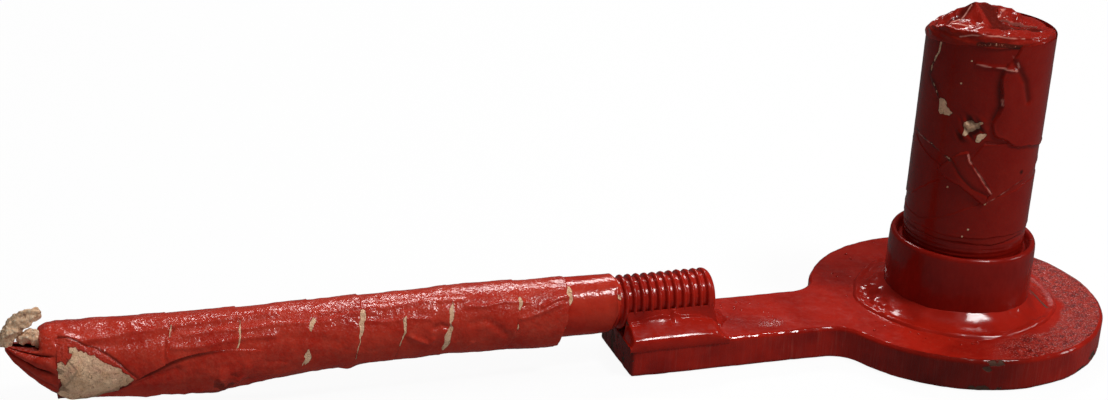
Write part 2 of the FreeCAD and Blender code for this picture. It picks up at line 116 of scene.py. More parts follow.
def lattice(cell, seed):
    """A repeatable number from 0 to 1 for each whole-numbered cell."""
    whole = cell.astype(np.int64)
    mixed = (whole[..., 0] * 73856093) ^ (whole[..., 1] * 19349663) ^ (whole[..., 2] * 83492791)
    mixed = (mixed ^ (seed * 15485863)) & 0xFFFFFFFF
    mixed = ((mixed ^ (mixed >> 15)) * 2246822519) & 0xFFFFFFFF
    mixed = ((mixed ^ (mixed >> 13)) * 3266489917) & 0xFFFFFFFF
    return ((mixed ^ (mixed >> 16)) & 0xFFFF) / 65535.0


def noise(points, size, seed):
    """Smooth noise from -1 to 1 with features of that size, or of one size along each axis."""
    place = points / np.asarray(size, float)
    cell = np.floor(place)
    part = place - cell
    part = part * part * (3 - 2 * part)
    total = np.zeros(points.shape[:-1])
    for corner in itertools.product((0, 1), repeat=3):
        weight = np.prod(np.where(corner, part, 1 - part), axis=-1)
        total += weight * lattice(cell + np.array(corner), seed)
    return 2 * total - 1


def layers_of_noise(points, size, count, seed):
    """Noise in layers, each half as large and half as strong as the one before."""
    return sum(noise(points, np.asarray(size, float) / 2**k, seed + k) / 2**k for k in range(count))


def facets(points, size, seed):
    """Flat facets that meet in sharp creases, as in crumpled paper, from -1 to 1."""
    warped = points / size + 0.35 * np.stack([noise(points, 2 * size, seed + k) for k in (11, 12, 13)], -1)
    cell = np.floor(warped)
    part = warped - cell
    order = np.argsort(-part, axis=-1)
    here = cell.copy()
    height = lattice(here, seed)
    total = height.copy()
    for k in range(3):
        axis = order[..., k : k + 1]
        step = np.take_along_axis(part, axis, -1)[..., 0]
        np.put_along_axis(here, axis, np.take_along_axis(here, axis, -1) + 1, -1)
        there = lattice(here, seed)
        total += step * (there - height)
        height = there
    return 2 * total - 1


def line_distance(u, v, line):
    """The distance from each (u, v) to an open line of points."""
    nearest = np.full(np.shape(u), 1e9)
    for (u0, v0), (u1, v1) in zip(line, line[1:]):
        du, dv = u1 - u0, v1 - v0
        along = np.clip(((u - u0) * du + (v - v0) * dv) / (du * du + dv * dv), 0, 1)
        nearest = np.minimum(nearest, np.hypot(u - u0 - along * du, v - v0 - along * dv))
    return nearest


def region_distance(u, v, corners):
    """The distance to a closed outline, negative inside it."""
    closed = list(corners) + [corners[0]]
    inside = np.zeros(np.shape(u), bool)
    for (u0, v0), (u1, v1) in zip(closed, closed[1:]):
        if v0 == v1:
            continue
        crosses = (v0 > v) != (v1 > v)
        inside ^= crosses & (u < (u1 - u0) * (v - v0) / (v1 - v0) + u0)
    far = line_distance(u, v, closed)
    return np.where(inside, -far, far)


def blend_curve(x, stations):
    """A gentle curve through given (place, value) stations."""
    places, values = zip(*stations)
    return sum(np.interp(x + shift, places, values) for shift in (-6, -3, 0, 3, 6)) / 5


def bar_arc(degrees):
    """Distance round the wrap from its front."""
    return np.radians(degrees) * WRAP_MEAN


def on_wrap(line):
    """A line of (along, degrees) on the wrap as distances."""
    return [(along, float(bar_arc(degrees))) for along, degrees in line]


def faceted(x, y, corners):
    """Heights of the flat facets stretched between given (x, y, height) corners."""
    plan = [Vector(corner[:2]) for corner in corners]
    places, _, triangles, origins, _, _ = delaunay_2d_cdt(plan, [], [], 0, 1e-6)
    heights = [corners[origin[0]][2] for origin in origins]
    total = np.full(x.shape, min(heights))
    for a, b, c in triangles:
        (ax, ay), (bx, by), (cx, cy) = places[a], places[b], places[c]
        size = (by - cy) * (ax - cx) + (cx - bx) * (ay - cy)
        near_a = ((by - cy) * (x - cx) + (cx - bx) * (y - cy)) / size
        near_b = ((cy - ay) * (x - cx) + (ax - cx) * (y - cy)) / size
        near_c = 1 - near_a - near_b
        inside = np.minimum(np.minimum(near_a, near_b), near_c) > -1e-6
        total = np.where(inside, near_a * heights[a] + near_b * heights[b] + near_c * heights[c], total)
    return total


# ---- meshes -------------------------------------------------------------------------------


def grid_faces(rows, columns, closed):
    """Quads of a grid of points. A closed grid's last column joins its first."""
    i, j = np.meshgrid(np.arange(rows - 1), np.arange(columns if closed else columns - 1), indexing="ij")
    right = (j + 1) % columns
    here, below = i * columns, (i + 1) * columns
    return np.stack([here + j, here + right, below + right, below + j], -1).reshape(-1, 4)


def make_piece(name, points, faces, material, nodes, masks):
    """A mesh piece that rides on the wrench's only body. masks are numbers for each point."""
    points = np.asarray(points, float).reshape(-1, 3)
    used = np.unique(np.concatenate([np.ravel(face) for face in faces]))
    renumber = np.zeros(len(points), int)
    renumber[used] = np.arange(len(used))
    mesh = bpy.data.meshes.new(name)
    renumbered = [renumber[np.asarray(face)].tolist() for face in faces]
    mesh.from_pydata((points[used] * MM).tolist(), [], renumbered)
    for mask, numbers in masks.items():
        layer = mesh.attributes.new(mask, "FLOAT", "POINT")
        layer.data.foreach_set("value", np.ravel(numbers)[used].astype(np.float32))
    mesh.polygons.foreach_set("use_smooth", [True] * len(mesh.polygons))
    mesh.materials.append(material)
    mesh.update()
    piece = bpy.data.objects.new(name, mesh)
    bpy.context.scene.collection.objects.link(piece)
    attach(piece, ROOT)
    if nodes:
        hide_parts(*nodes)


def plain_paint(like):
    """The masks of enamel without chips or scale."""
    return {"chip": 0 * like, "rough": 0 * like}


def ring_points(radius, height, turn):
    """Points round the stub. turn is in radians."""
    return np.stack([radius * np.cos(turn), radius * np.sin(turn), height + 0 * turn], -1)


def bar_points(radius, along, turn):
    """Points round the bar. along runs out from the stub, and turn is 0 in front and 90 degrees on top."""
    return np.stack([-along + 0 * turn, ROD_Y - radius * np.cos(turn), ROD_Z + radius * np.sin(turn)], -1)


def turns(count):
    """Angles at even steps once round."""
    return np.arange(count) * (2 * math.pi / count)


def turn_grid(rows, columns):
    """The turn at each point of a closed grid."""
    return np.repeat(turns(columns)[None], rows, 0)


def share_grid(rows, columns):
    """The share of the way along its rows at each point of a grid."""
    return np.repeat(np.linspace(0, 1, rows)[:, None], columns, 1)


def resample(outline, step):
    """Points at even steps along an open outline."""
    outline = np.asarray(outline, float)
    lengths = np.hypot(*np.diff(outline, axis=0).T)
    along = np.concatenate([[0], np.cumsum(lengths)])
    places = np.linspace(0, along[-1], max(2, int(round(along[-1] / step)) + 1))
    return np.stack([np.interp(places, along, outline[:, k]) for k in range(2)], -1)


def soften(outline, times):
    """Rounds an open outline's corners by cutting them off again and again."""
    outline = np.asarray(outline, float)
    for _ in range(times):
        near = outline[:-1] * 0.75 + outline[1:] * 0.25
        far = outline[:-1] * 0.25 + outline[1:] * 0.75
        middle = np.stack([near, far], 1).reshape(-1, 2)
        outline = np.concatenate([outline[:1], middle, outline[-1:]])
    return outline


def lathe(outline, columns):
    """Grid arrays (radius, height, turn) of an outline of (radius, height) turned about its axis."""
    radius = np.repeat(outline[:, :1], columns, 1)
    height = np.repeat(outline[:, 1:], columns, 1)
    return radius, height, turn_grid(len(outline), columns)


# ---- materials ----------------------------------------------------------------------------


def plug(tree, what, socket):
    """Sets a socket to a number or colour, or links an output to it."""
    if isinstance(what, bpy.types.NodeSocket):
        tree.links.new(what, socket)
    else:
        socket.default_value = what


def combine(tree, operation, a, b):
    """The output of a maths node on two outputs or numbers."""
    made = tree.nodes.new("ShaderNodeMath")
    made.operation = operation
    plug(tree, a, made.inputs[0])
    plug(tree, b, made.inputs[1])
    return made.outputs[0]


class Look:
    """A procedural material in the making. Its textures are laid out in millimetres."""

    def __init__(self, name):
        self.material = bpy.data.materials.new(name)
        self.material.use_nodes = True
        self.tree = self.material.node_tree
        self.shader = self.tree.nodes["Principled BSDF"]
        place = self.node("ShaderNodeTexCoord").outputs["Object"]
        scaled = self.node("ShaderNodeVectorMath", operation="SCALE")
        self.link(place, scaled.inputs[0])
        scaled.inputs["Scale"].default_value = 1 / MM
        self.place = scaled.outputs[0]
        self.normal = None

    def node(self, kind, **settings):
        made = self.tree.nodes.new(kind)
        for key, setting in settings.items():
            setattr(made, key, setting)
        return made

    def link(self, output, socket):
        self.tree.links.new(output, socket)

    def put(self, what, socket):
        plug(self.tree, what, socket)

    def stretched(self, stretch):
        """The place in the texture, scaled along each axis."""
        scaled = self.node("ShaderNodeVectorMath", operation="MULTIPLY")
        self.link(self.place, scaled.inputs[0])
        scaled.inputs[1].default_value = stretch
        return scaled.outputs[0]

    def noise(self, size, detail=3.0, rough=0.55, bend=0.0, stretch=None, shift=0.0):
        """Noise with features of that size. shift moves it, so that no two are alike."""
        made = self.node("ShaderNodeTexNoise")
        place = self.stretched(stretch) if stretch else self.place
        moved = self.node("ShaderNodeVectorMath", operation="ADD")
        self.link(place, moved.inputs[0])
        moved.inputs[1].default_value = (shift, shift * 1.7, shift * 0.6)
        self.link(moved.outputs[0], made.inputs["Vector"])
        made.inputs["Scale"].default_value = 1 / size
        made.inputs["Detail"].default_value = detail
        made.inputs["Roughness"].default_value = rough
        made.inputs["Distortion"].default_value = bend
        return made.outputs["Fac"]

    def cells(self, size):
        """The distance to the middle of the nearest of many small cells."""
        made = self.node("ShaderNodeTexVoronoi")
        self.link(self.place, made.inputs["Vector"])
        made.inputs["Scale"].default_value = 1 / size
        return made.outputs["Distance"]

    def mask(self, name):
        """One of the numbers that make_piece gives to each point."""
        return self.node("ShaderNodeAttribute", attribute_name=name).outputs["Fac"]

    def ramp(self, fac, *stops):
        """Shades or colours that follow fac, from stops of (place, shade)."""
        made = self.node("ShaderNodeValToRGB")
        self.link(fac, made.inputs[0])
        band = made.color_ramp.elements
        while len(band) < len(stops):
            band.new(0.5)
        for element, (place, shade) in zip(band, stops):
            element.position = place
            element.color = (*shade, 1.0) if isinstance(shade, tuple) else (shade, shade, shade, 1.0)
        return made.outputs["Color"]

    def times(self, a, b):
        return combine(self.tree, "MULTIPLY", a, b)

    def torn(self, mask, spots, strength):
        """A mask with its outline frayed by spots of noise."""
        return combine(self.tree, "ADD", mask, self.times(spots, strength))

    def mix(self, fac, a, b):
        """Colour a where fac is 0, and b where it is 1."""
        made = self.node("ShaderNodeMix", data_type="RGBA")
        self.put(fac, made.inputs["Factor"])
        self.put(a if isinstance(a, bpy.types.NodeSocket) else (*a, 1.0), made.inputs["A"])
        self.put(b if isinstance(b, bpy.types.NodeSocket) else (*b, 1.0), made.inputs["B"])
        return made.outputs["Result"]

    def between(self, fac, a, b):
        """Number a where fac is 0, and b where it is 1."""
        made = self.node("ShaderNodeMix", data_type="FLOAT")
        self.put(fac, made.inputs["Factor"])
        self.put(a, made.inputs["A"])
        self.put(b, made.inputs["B"])
        return made.outputs["Result"]

    def bump(self, height, depth, strength=1.0):
        """Adds relief of that depth in millimetres on top of what is there."""
        made = self.node("ShaderNodeBump")
        self.link(height, made.inputs["Height"])
        made.inputs["Distance"].default_value = depth * MM
        self.put(strength, made.inputs["Strength"])
        if self.normal is not None:
            self.link(self.normal, made.inputs["Normal"])
        self.normal = made.outputs["Normal"]

    def finish(self, colour, roughness, metallic=0.0, specular=0.5):
        self.put(colour, self.shader.inputs["Base Color"])
        self.put(roughness, self.shader.inputs["Roughness"])
        self.put(metallic, self.shader.inputs["Metallic"])
        self.shader.inputs["Specular IOR Level"].default_value = specular
        if self.normal is not None:
            self.link(self.normal, self.shader.inputs["Normal"])
        return self.material


# Colours as linear red, green and blue.
DEEP_RED = (0.23, 0.0055, 0.003)
CLEAR_RED = (0.43, 0.014, 0.006)
DUSTY_RED = (0.58, 0.105, 0.065)
SHADED_RED = (0.17, 0.004, 0.0025)
# Painted shade in pits.
PIT_SHADE_RED = (0.10, 0.004, 0.003)
GRIME_AND_SHADE_RED = (0.070, 0.004, 0.0025)
# Painted glints.
GLINT_PINK = (0.80, 0.42, 0.38)
TAPE_RED = (0.55, 0.036, 0.017)
# Painted shade for the tape's darker copies.
SHADED_TAPE_RED = (0.19, 0.003, 0.0018)
# Painted shade in creases.
CREASE_SHADE_RED = (0.045, 0.005, 0.003)
# Painted sparkle.
SPARKLE_PINK = (0.90, 0.46, 0.42)
# Painted highlight lines.
HIGHLIGHT_PINK = (0.82, 0.33, 0.26)
SCALE_BLACK = (0.030, 0.017, 0.011)
SCALE_BROWN = (0.12, 0.045, 0.025)
CUT_BROWN = (0.15, 0.055, 0.03)
PAPER = (1.0, 0.66, 0.42)
PAPER_PALE = (0.95, 0.80, 0.60)
PAPER_DARK = (0.80, 0.47, 0.27)
PAPER_PINK = (0.78, 0.36, 0.26)
PAPER_BROWN = (0.20, 0.09, 0.05)
PAPER_STAIN = (0.28, 0.10, 0.05)
# Painted shade in creases of bare paper.
PAPER_CREASE_SHADE = (0.10, 0.04, 0.02)
PAPER_RIM = (0.05, 0.017, 0.010)
STEEL_DARK = (0.30, 0.29, 0.28)
STEEL_PALE = (0.46, 0.45, 0.43)
RUST = (0.16, 0.06, 0.03)


def enamel(name, dust_and_sparkle=0.25, brush=(1.0, 1.0, 1.0), relief=1.0, painted_shade=0.0, gloss=0.0):
    """Thick gloss enamel, brushed on. chip shows the scale below it and rough the pitted plate, with painted
    shade in its pits and painted sheen and glints round them. A darker copy gets painted shade over its whole
    coat.
    """
    look = Look(name)
    broad = look.noise(26.0, 3.0, shift=3.0)
    colour = look.mix(look.ramp(broad, (0.25, 0.0), (0.60, 1.0)), DEEP_RED, CLEAR_RED)
    # Painted shade: darkens the whole coat of a darker copy.
    colour = look.mix(painted_shade, colour, SHADED_RED)
    streaks = look.noise(1.6, 4.0, 0.65, stretch=brush, shift=9.0)
    colour = look.mix(look.ramp(streaks, (0.30, 0.0), (0.75, 0.30)), colour, CLEAR_RED)
    grime_and_shade = look.ramp(look.noise(7.0, 5.0, 0.7, shift=21.0), (0.60, 0.0), (0.8, 0.5))
    colour = look.mix(grime_and_shade, colour, DEEP_RED)
    film = look.ramp(look.noise(2.2, 6.0, 0.8, shift=33.0), (0.52, 0.0), (0.78, 1.0))
    film = look.times(film, dust_and_sparkle)
    rough = look.mask("rough")
    # On the rough plate the pits are painted dark as shade, their rims pale as sheen, and fine pink glints as
    # highlights.
    pits = look.noise(2.6, 5.0, 0.8, shift=5.0)
    pit_shade = look.times(rough, look.ramp(pits, (0.40, 0.9), (0.53, 0.0)))
    colour = look.mix(pit_shade, colour, PIT_SHADE_RED)
    glint = look.noise(0.8, 2.0, 0.6, shift=66.0)
    glint = look.times(rough, look.ramp(glint, (0.58, 0.0), (0.68, 0.7)))
    pit_sheen = look.times(rough, look.ramp(pits, (0.52, 0.0), (0.66, 0.45)))
    # The film holds dust and, on the rough plate, painted sheen.
    film = combine(look.tree, "MAXIMUM", film, pit_sheen)
    colour = look.mix(film, colour, DUSTY_RED)
    colour = look.mix(glint, colour, GLINT_PINK)
    torn = look.torn(look.mask("chip"), look.noise(1.4, 4.0, 0.7), 0.5)
    bared = look.ramp(torn, (0.7, 0.0), (0.78, 1.0))
    scale = look.mix(look.noise(2.0, 4.0, 0.7, shift=77.0), SCALE_BLACK, SCALE_BROWN)
    colour = look.mix(bared, colour, scale)
    roughness = look.ramp(look.noise(5.0, 4.0, 0.6, shift=14.0), (0.3, 0.15 - gloss), (0.7, 0.25 - gloss))
    roughness = look.between(film, roughness, 0.36)
    roughness = look.between(bared, roughness, 0.8)
    look.bump(look.noise(9.0, 2.0, shift=40.0), 0.40 * relief, 0.6)
    look.bump(look.noise(2.4, 3.0, 0.6, stretch=brush, shift=17.0), 0.12 * relief, 0.6)
    look.bump(pits, 0.9, look.times(rough, 0.95))
    look.bump(bared, -0.25, 0.8)
    return look.finish(colour, roughness, specular=0.4)


def cut_enamel(name):
    """The same enamel over the plate's flame-cut sides, whose drag lines run from top to bottom."""
    look = Look(name)
    lines = look.noise(1.5, 3.0, 0.7, stretch=(1.0, 1.0, 0.07), shift=2.0)
    where = look.ramp(look.noise(24.0, 3.0, 0.6, shift=13.0), (0.42, 0.12), (0.62, 1.0))
    broad = look.noise(20.0, 3.0, shift=8.0)
    colour = look.mix(look.ramp(broad, (0.25, 0.0), (0.62, 1.0)), DEEP_RED, CLEAR_RED)
    dusty = look.times(look.ramp(lines, (0.55, 0.0), (0.72, 0.28)), where)
    colour = look.mix(dusty, colour, DUSTY_RED)
    # Painted shade from the plate's mask.
    colour = look.mix(look.mask("grime_and_shade"), colour, GRIME_AND_SHADE_RED)
    torn = look.torn(look.mask("chip"), look.noise(1.6, 5.0, 0.75), 0.65)
    bared = look.ramp(torn, (0.74, 0.0), (0.82, 1.0))
    scale = look.mix(look.noise(1.7, 4.0, 0.7, shift=77.0), SCALE_BLACK, CUT_BROWN)
    colour = look.mix(bared, colour, scale)
    roughness = look.between(look.mask("edge"), look.ramp(lines, (0.35, 0.18), (0.7, 0.36)), 0.10)
    roughness = look.between(bared, roughness, 0.8)
    look.bump(look.noise(7.0, 2.0, shift=4.0), 0.5, 0.6)
    look.bump(lines, 0.32, look.times(where, look.between(look.mask("edge"), 0.8, 0.1)))
    look.bump(bared, -0.3, 0.8)
    return look.finish(colour, roughness, specular=0.4)


def painted_tape(name, dust_and_sparkle=0.5, grain=1.0, painted_shade=0.0, gloss=0.0):
    """Crepe tape under enamel. bare shows its paper, fold paints the shade of a crease, and the highlight
    mask a thin painted highlight line. A darker copy gets painted shade over its whole coat, and the dust
    setting also paints pale sparkle on faces that look up.
    """
    look = Look(name)
    crepe = look.cells(1.25)
    fine = look.noise(0.8, 4.0, 0.7, shift=6.0)
    broad = look.noise(18.0, 3.0, shift=7.0)
    colour = look.mix(look.ramp(broad, (0.30, 0.0), (0.60, 1.0)), CLEAR_RED, TAPE_RED)
    # Painted shade: darkens the whole coat of a darker copy.
    colour = look.mix(painted_shade, colour, SHADED_TAPE_RED)
    film = look.ramp(look.noise(3.2, 6.0, 0.8, shift=30.0), (0.44, 0.0), (0.70, 0.8))
    film = look.times(film, dust_and_sparkle)
    colour = look.mix(film, colour, DUSTY_RED)
    # Painted sparkle: pale specks in patches on faces that look up, in place of the crepe's glints.
    up = look.node("ShaderNodeSeparateXYZ")
    look.link(look.node("ShaderNodeNewGeometry").outputs["Normal"], up.inputs[0])
    upward_sparkle = look.times(look.ramp(up.outputs["Z"], (0.30, 0.0), (0.80, 1.0)), dust_and_sparkle)
    sparkle_patches = look.ramp(look.noise(6.0, 3.0, 0.6, shift=91.0), (0.42, 0.15), (0.62, 1.0))
    painted_sparkle = look.ramp(look.noise(0.9, 2.0, 0.6, shift=44.0), (0.55, 0.0), (0.63, 0.8))
    painted_sparkle = look.times(look.times(upward_sparkle, painted_sparkle), sparkle_patches)
    colour = look.mix(painted_sparkle, colour, SPARKLE_PINK)
    # The fold mask paints shade in creases, pleats, slits and gaps and along edges, on the paint and on bare
    # paper.
    crease = look.mask("fold")
    colour = look.mix(look.times(crease, 0.9), colour, CREASE_SHADE_RED)
    # Painted highlight lines on folded edges.
    colour = look.mix(look.mask("painted_light_and_wear"), colour, HIGHLIGHT_PINK)
    torn = look.torn(look.mask("bare"), look.noise(1.3, 5.0, 0.75, shift=50.0), 0.6)
    shows = look.ramp(torn, (0.74, 0.0), (0.80, 1.0))
    clouds = look.ramp(look.noise(3.4, 6.0, 0.75, shift=60.0), (0.40, 0.0), (0.56, 1.0))
    flecks = look.ramp(look.noise(1.6, 4.0, 0.8, shift=61.0), (0.36, 0.7), (0.46, 0.0))
    stain = look.ramp(look.noise(7.0, 4.0, 0.7, shift=70.0), (0.50, 0.0), (0.68, 0.5))
    paper = look.mix(flecks, look.mix(clouds, PAPER_DARK, PAPER), PAPER_BROWN)
    paper = look.mix(stain, paper, PAPER_PINK)
    rim = look.ramp(torn, (0.50, 0.0), (0.68, 1.0), (0.80, 0.0))
    colour = look.mix(look.times(rim, 0.85), colour, PAPER_RIM)
    colour = look.mix(shows, colour, paper)
    colour = look.mix(look.times(look.times(shows, crease), 0.8), colour, PAPER_CREASE_SHADE)
    roughness = look.ramp(look.noise(3.0, 4.0, 0.7), (0.3, 0.20 - gloss), (0.7, 0.32 - gloss))
    roughness = look.between(shows, roughness, 0.85)
    look.bump(look.noise(5.0, 3.0, 0.6, shift=12.0), 1.0 * grain, 0.6)
    look.bump(crepe, 0.30 * grain, 0.7)
    look.bump(fine, 0.09 * grain, 0.8)
    look.bump(look.noise(1.4, 4.0, 0.8, shift=81.0), 0.8, look.times(shows, 0.9))
    return look.finish(colour, roughness, specular=0.35)


def bare_paper(name):
    """Cream crepe paper, twisted and torn, with stains and a splash of red."""
    look = Look(name)
    streaks = look.noise(1.0, 5.0, 0.75, bend=0.6, stretch=(0.6, 1.4, 1.0))
    colour = look.mix(look.ramp(streaks, (0.42, 0.0), (0.58, 1.0)), PAPER_DARK, PAPER)
    pale = look.ramp(look.noise(1.2, 5.0, 0.8, shift=4.0), (0.50, 0.0), (0.62, 0.9))
    colour = look.mix(pale, colour, PAPER_PALE)
    stain = look.ramp(look.noise(3.5, 4.0, 0.7, shift=17.0), (0.52, 0.0), (0.66, 0.85))
    colour = look.mix(stain, colour, PAPER_STAIN)
    torn = combine(look.tree, "ADD", look.mask("splash"), look.noise(2.0, 4.0))
    splash = look.ramp(torn, (1.05, 0.0), (1.15, 1.0))
    colour = look.mix(splash, colour, CLEAR_RED)
    look.bump(look.noise(1.1, 4.0, 0.8, shift=8.0), 0.6, 0.9)
    return look.finish(colour, look.between(splash, 0.88, 0.35))


def bare_steel(name):
    """Machined steel that has dulled, inside the stub."""
    look = Look(name)
    rings = look.noise(1.1, 3.0, 0.6, stretch=(0.2, 0.2, 1.0))
    colour = look.mix(look.ramp(rings, (0.3, 0.0), (0.7, 1.0)), STEEL_DARK, STEEL_PALE)
    rust = look.ramp(look.noise(6.0, 5.0, 0.7, shift=6.0), (0.6, 0.0), (0.75, 0.8))
    colour = look.mix(rust, colour, RUST)
    look.bump(rings, 0.08, 0.5)
    metal = look.between(rust, 1.0, 0.2)
    return look.finish(colour, look.between(rust, 0.38, 0.8), metallic=metal)


# ---- camera and studio --------------------------------------------------------------------


def make_camera():
    """The photo's viewpoint: a long lens from the front left, rolled a little."""
    azimuth, elevation, roll = (math.radians(a) for a in (-18.777, 22.828, 2.993))
    distance = 1055.2
    target = Vector((-183.1, 104.8, 40.0))
    flat = math.cos(elevation)
    back = Vector((math.sin(azimuth) * flat, -math.cos(azimuth) * flat, math.sin(elevation)))
    right = (-back).cross(Vector((0, 0, 1))).normalized()
    up = right.cross(-back)
    across = right * math.cos(roll) + up * math.sin(roll)
    over = up * math.cos(roll) - right * math.sin(roll)
    data = bpy.data.cameras.new("photo_camera")
    data.sensor_width = 36.0
    data.lens = 65.2
    data.clip_start = 0.01
    camera = bpy.data.objects.new("photo_camera", data)
    turned = Matrix((across, over, back)).transposed().to_4x4()
    camera.matrix_world = Matrix.Translation((target + back * distance) * MM) @ turned
    bpy.context.scene.collection.objects.link(camera)
    bpy.context.scene.camera = camera


MIRRORED = 0.03  # how much of the white background mirrored rays see, since the photo's room was dark


def seen_ray(tree, path):
    """1 for rays straight from the camera or through glass, and a little for mirrored ones."""
    clear = combine(tree, "MAXIMUM", path["Is Camera Ray"], path["Is Transmission Ray"])
    return combine(tree, "MAXIMUM", clear, combine(tree, "MULTIPLY", path["Is Glossy Ray"], MIRRORED))


def make_world():
    """White to the camera. Its own light is low and soft, and comes mostly from behind the camera."""
    world = bpy.data.worlds.new("studio")
    bpy.context.scene.world = world
    world.use_nodes = True
    tree = world.node_tree
    path = tree.nodes.new("ShaderNodeLightPath").outputs
    towards = tree.nodes.new("ShaderNodeVectorMath")
    towards.operation = "DOT_PRODUCT"
    tree.links.new(tree.nodes.new("ShaderNodeTexCoord").outputs["Generated"], towards.inputs[0])
    towards.inputs[1].default_value = (0.30, -0.92, 0.15)
    front = combine(tree, "MULTIPLY", combine(tree, "MAXIMUM", towards.outputs["Value"], 0.0), 0.26)
    matt = combine(tree, "SUBTRACT", 1.0, combine(tree, "MULTIPLY", path["Is Glossy Ray"], 0.9))
    glow = combine(tree, "MULTIPLY", combine(tree, "ADD", front, 0.05), matt)
    strength = combine(tree, "MAXIMUM", glow, seen_ray(tree, path))
    background = tree.nodes["Background"]
    background.inputs["Color"].default_value = (1.0, 1.0, 1.0, 1.0)
    tree.links.new(strength, background.inputs["Strength"])


def make_floor():
    """A wide pale sheet. Its own glow makes it white to the camera and leaves the shadow on it."""
    reach, columns = 4000.0, 96
    rings = np.array([0.0, 300.0, 1200.0, reach])
    radius, turn = np.meshgrid(rings, turns(columns), indexing="ij")
    points = np.stack([radius * np.cos(turn), radius * np.sin(turn), -0.05 + 0 * turn], -1)
    mesh = bpy.data.meshes.new("floor")
    faces = grid_faces(len(rings), columns, True).tolist()
    mesh.from_pydata((points.reshape(-1, 3) * MM).tolist(), [], faces)
    floor = bpy.data.objects.new("floor", mesh)
    bpy.context.scene.collection.objects.link(floor)
    material = bpy.data.materials.new("floor_paper")
    material.use_nodes = True
    tree = material.node_tree
    shader = tree.nodes["Principled BSDF"]
    shader.inputs["Roughness"].default_value = 0.9
    shader.inputs["Specular IOR Level"].default_value = 0.0
    shader.inputs["Base Color"].default_value = (0.06, 0.06, 0.06, 1.0)
    shader.inputs["Emission Color"].default_value = (0.94, 0.94, 0.94, 1.0)
    path = tree.nodes.new("ShaderNodeLightPath").outputs
    bounce = combine(tree, "MULTIPLY", path["Is Diffuse Ray"], 0.30)
    tree.links.new(combine(tree, "MAXIMUM", seen_ray(tree, path), bounce), shader.inputs["Emission Strength"])
    mesh.materials.append(material)


LAMP_TARGET = Vector((-150.0, 0.0, 50.0))


def make_lamp(name, azimuth, elevation, distance, size, power, mirrored=True):
    """A soft rectangular light on the wrench. Angles are in plan from +X, and above the floor."""
    a, e = math.radians(azimuth), math.radians(elevation)
    towards = Vector((math.cos(a) * math.cos(e), math.sin(a) * math.cos(e), math.sin(e)))
    data = bpy.data.lights.new(name, "AREA")
    data.shape = "RECTANGLE"
    data.size, data.size_y = (side * MM for side in size)
    data.energy = power
    lamp = bpy.data.objects.new(name, data)
    turn = towards.to_track_quat("Z", "Y").to_matrix().to_4x4()
    lamp.matrix_world = Matrix.Translation((LAMP_TARGET + towards * distance) * MM) @ turn
    lamp.visible_glossy = mirrored
    bpy.context.scene.collection.objects.link(lamp)


def make_studio():
    """The photo's camera, white background and lamps."""
    make_camera()
    make_world()
    make_floor()
    make_lamp("front_right", -46.0, 60.0, 1500.0, (270.0, 270.0), 9.5)
    make_lamp("back_top", 72.0, 47.0, 1700.0, (560.0, 300.0), 10.0)
    make_lamp("right", -16.0, 24.0, 1400.0, (260.0, 260.0), 1.6)
    make_lamp("overhead", 10.0, 86.0, 1600.0, (900.0, 600.0), 6.0, mirrored=False)
    bpy.context.scene.view_settings.view_transform = "Standard"


# ---- plate --------------------------------------------------------------------------------


def plate_outline():
    """The disk and arm from above, anticlockwise, with the arm's corners and the neck rounded."""
    reach = HEAD_RADIUS + NECK_FILLET
    neck_y = ARM_HALF + NECK_FILLET
    neck_x = -math.sqrt(reach**2 - neck_y**2)
    meet = math.atan2(neck_y, neck_x)
    corner = 2.2

    def arc(x, y, radius, start, stop):
        angles = np.linspace(start, stop, max(6, int(abs(stop - start) * radius)))
        return [(x + radius * math.cos(a), y + radius * math.sin(a)) for a in angles]

    half = math.pi / 2
    points = arc(0, 0, HEAD_RADIUS, -meet, meet)
    points += arc(neck_x, neck_y, NECK_FILLET, meet - math.pi, -half)
    points += arc(-ARM_TIP + corner, ARM_HALF - corner, corner, half, 2 * half)
    points += arc(-ARM_TIP + corner, -ARM_HALF + corner, corner, 2 * half, 3 * half)
    points += arc(neck_x, -neck_y, NECK_FILLET, half, math.pi - meet)
    return resample(points + points[:1], 1.0)[:-1]


def rough_patch(x, y):
    """How scaly the plate's top is: its right side was never ground smooth."""
    radius, turn = np.hypot(x, y), np.degrees(np.arctan2(y, x))
    right = smooth(-108, -84, turn) * (1 - smooth(60, 100, turn))
    edge = WELD_RADIUS - 1 + 4 * noise(np.stack([x, y, 0 * x], -1), 12.0, 3)
    scuff = 0.55 * bell((x + 107) / 7.0, (y + 12) / 3.5)
    return np.maximum(right * smooth(edge, edge + 6, radius), scuff)


CHIPS = (  # plan angle, height, width, tallness of the bare spots on the plate's edge
    (-102.0, 15.0, 6.5, 2.2),
    (-105.5, 12.5, 3.5, 1.8),
    (-106.0, 1.5, 9.0, 2.2),
    (-49.0, 3.5, 6.0, 4.2),
    (-58.0, 1.0, 13.0, 2.0),
    (34.0, 13.0, 6.0, 3.0),
    (118.0, 2.0, 10.0, 2.4),
)


def plate_chips(points):
    """Bare spots on the disk's edge, along the bottom edge and on the arm's end, all ragged."""
    x, y, z = points[..., 0], points[..., 1], points[..., 2]
    wear = np.zeros(x.shape)
    for turn, height, wide, tall in CHIPS:
        a = math.radians(turn)
        off = np.hypot(x - HEAD_RADIUS * math.cos(a), y - HEAD_RADIUS * math.sin(a)) / wide
        wear = np.maximum(wear, 0.95 - np.hypot(off, (z - height) / tall) * 0.75)
    end = smooth(-ARM_TIP + 3.0, -ARM_TIP + 0.5, x) * (0.30 + 0.28 * noise(points, 6.0, 20))
    low = smooth(2.2, 0.4, z) * smooth(-0.05, 0.6, noise(points, 9.0, 19)) * (z > 0.2)
    wear = highest(wear, end, 0.7 * low)
    wear = wear + 0.45 * noise(points, 2.2, 22) * (wear > 0.12)
    return np.clip(wear, 0, 1)


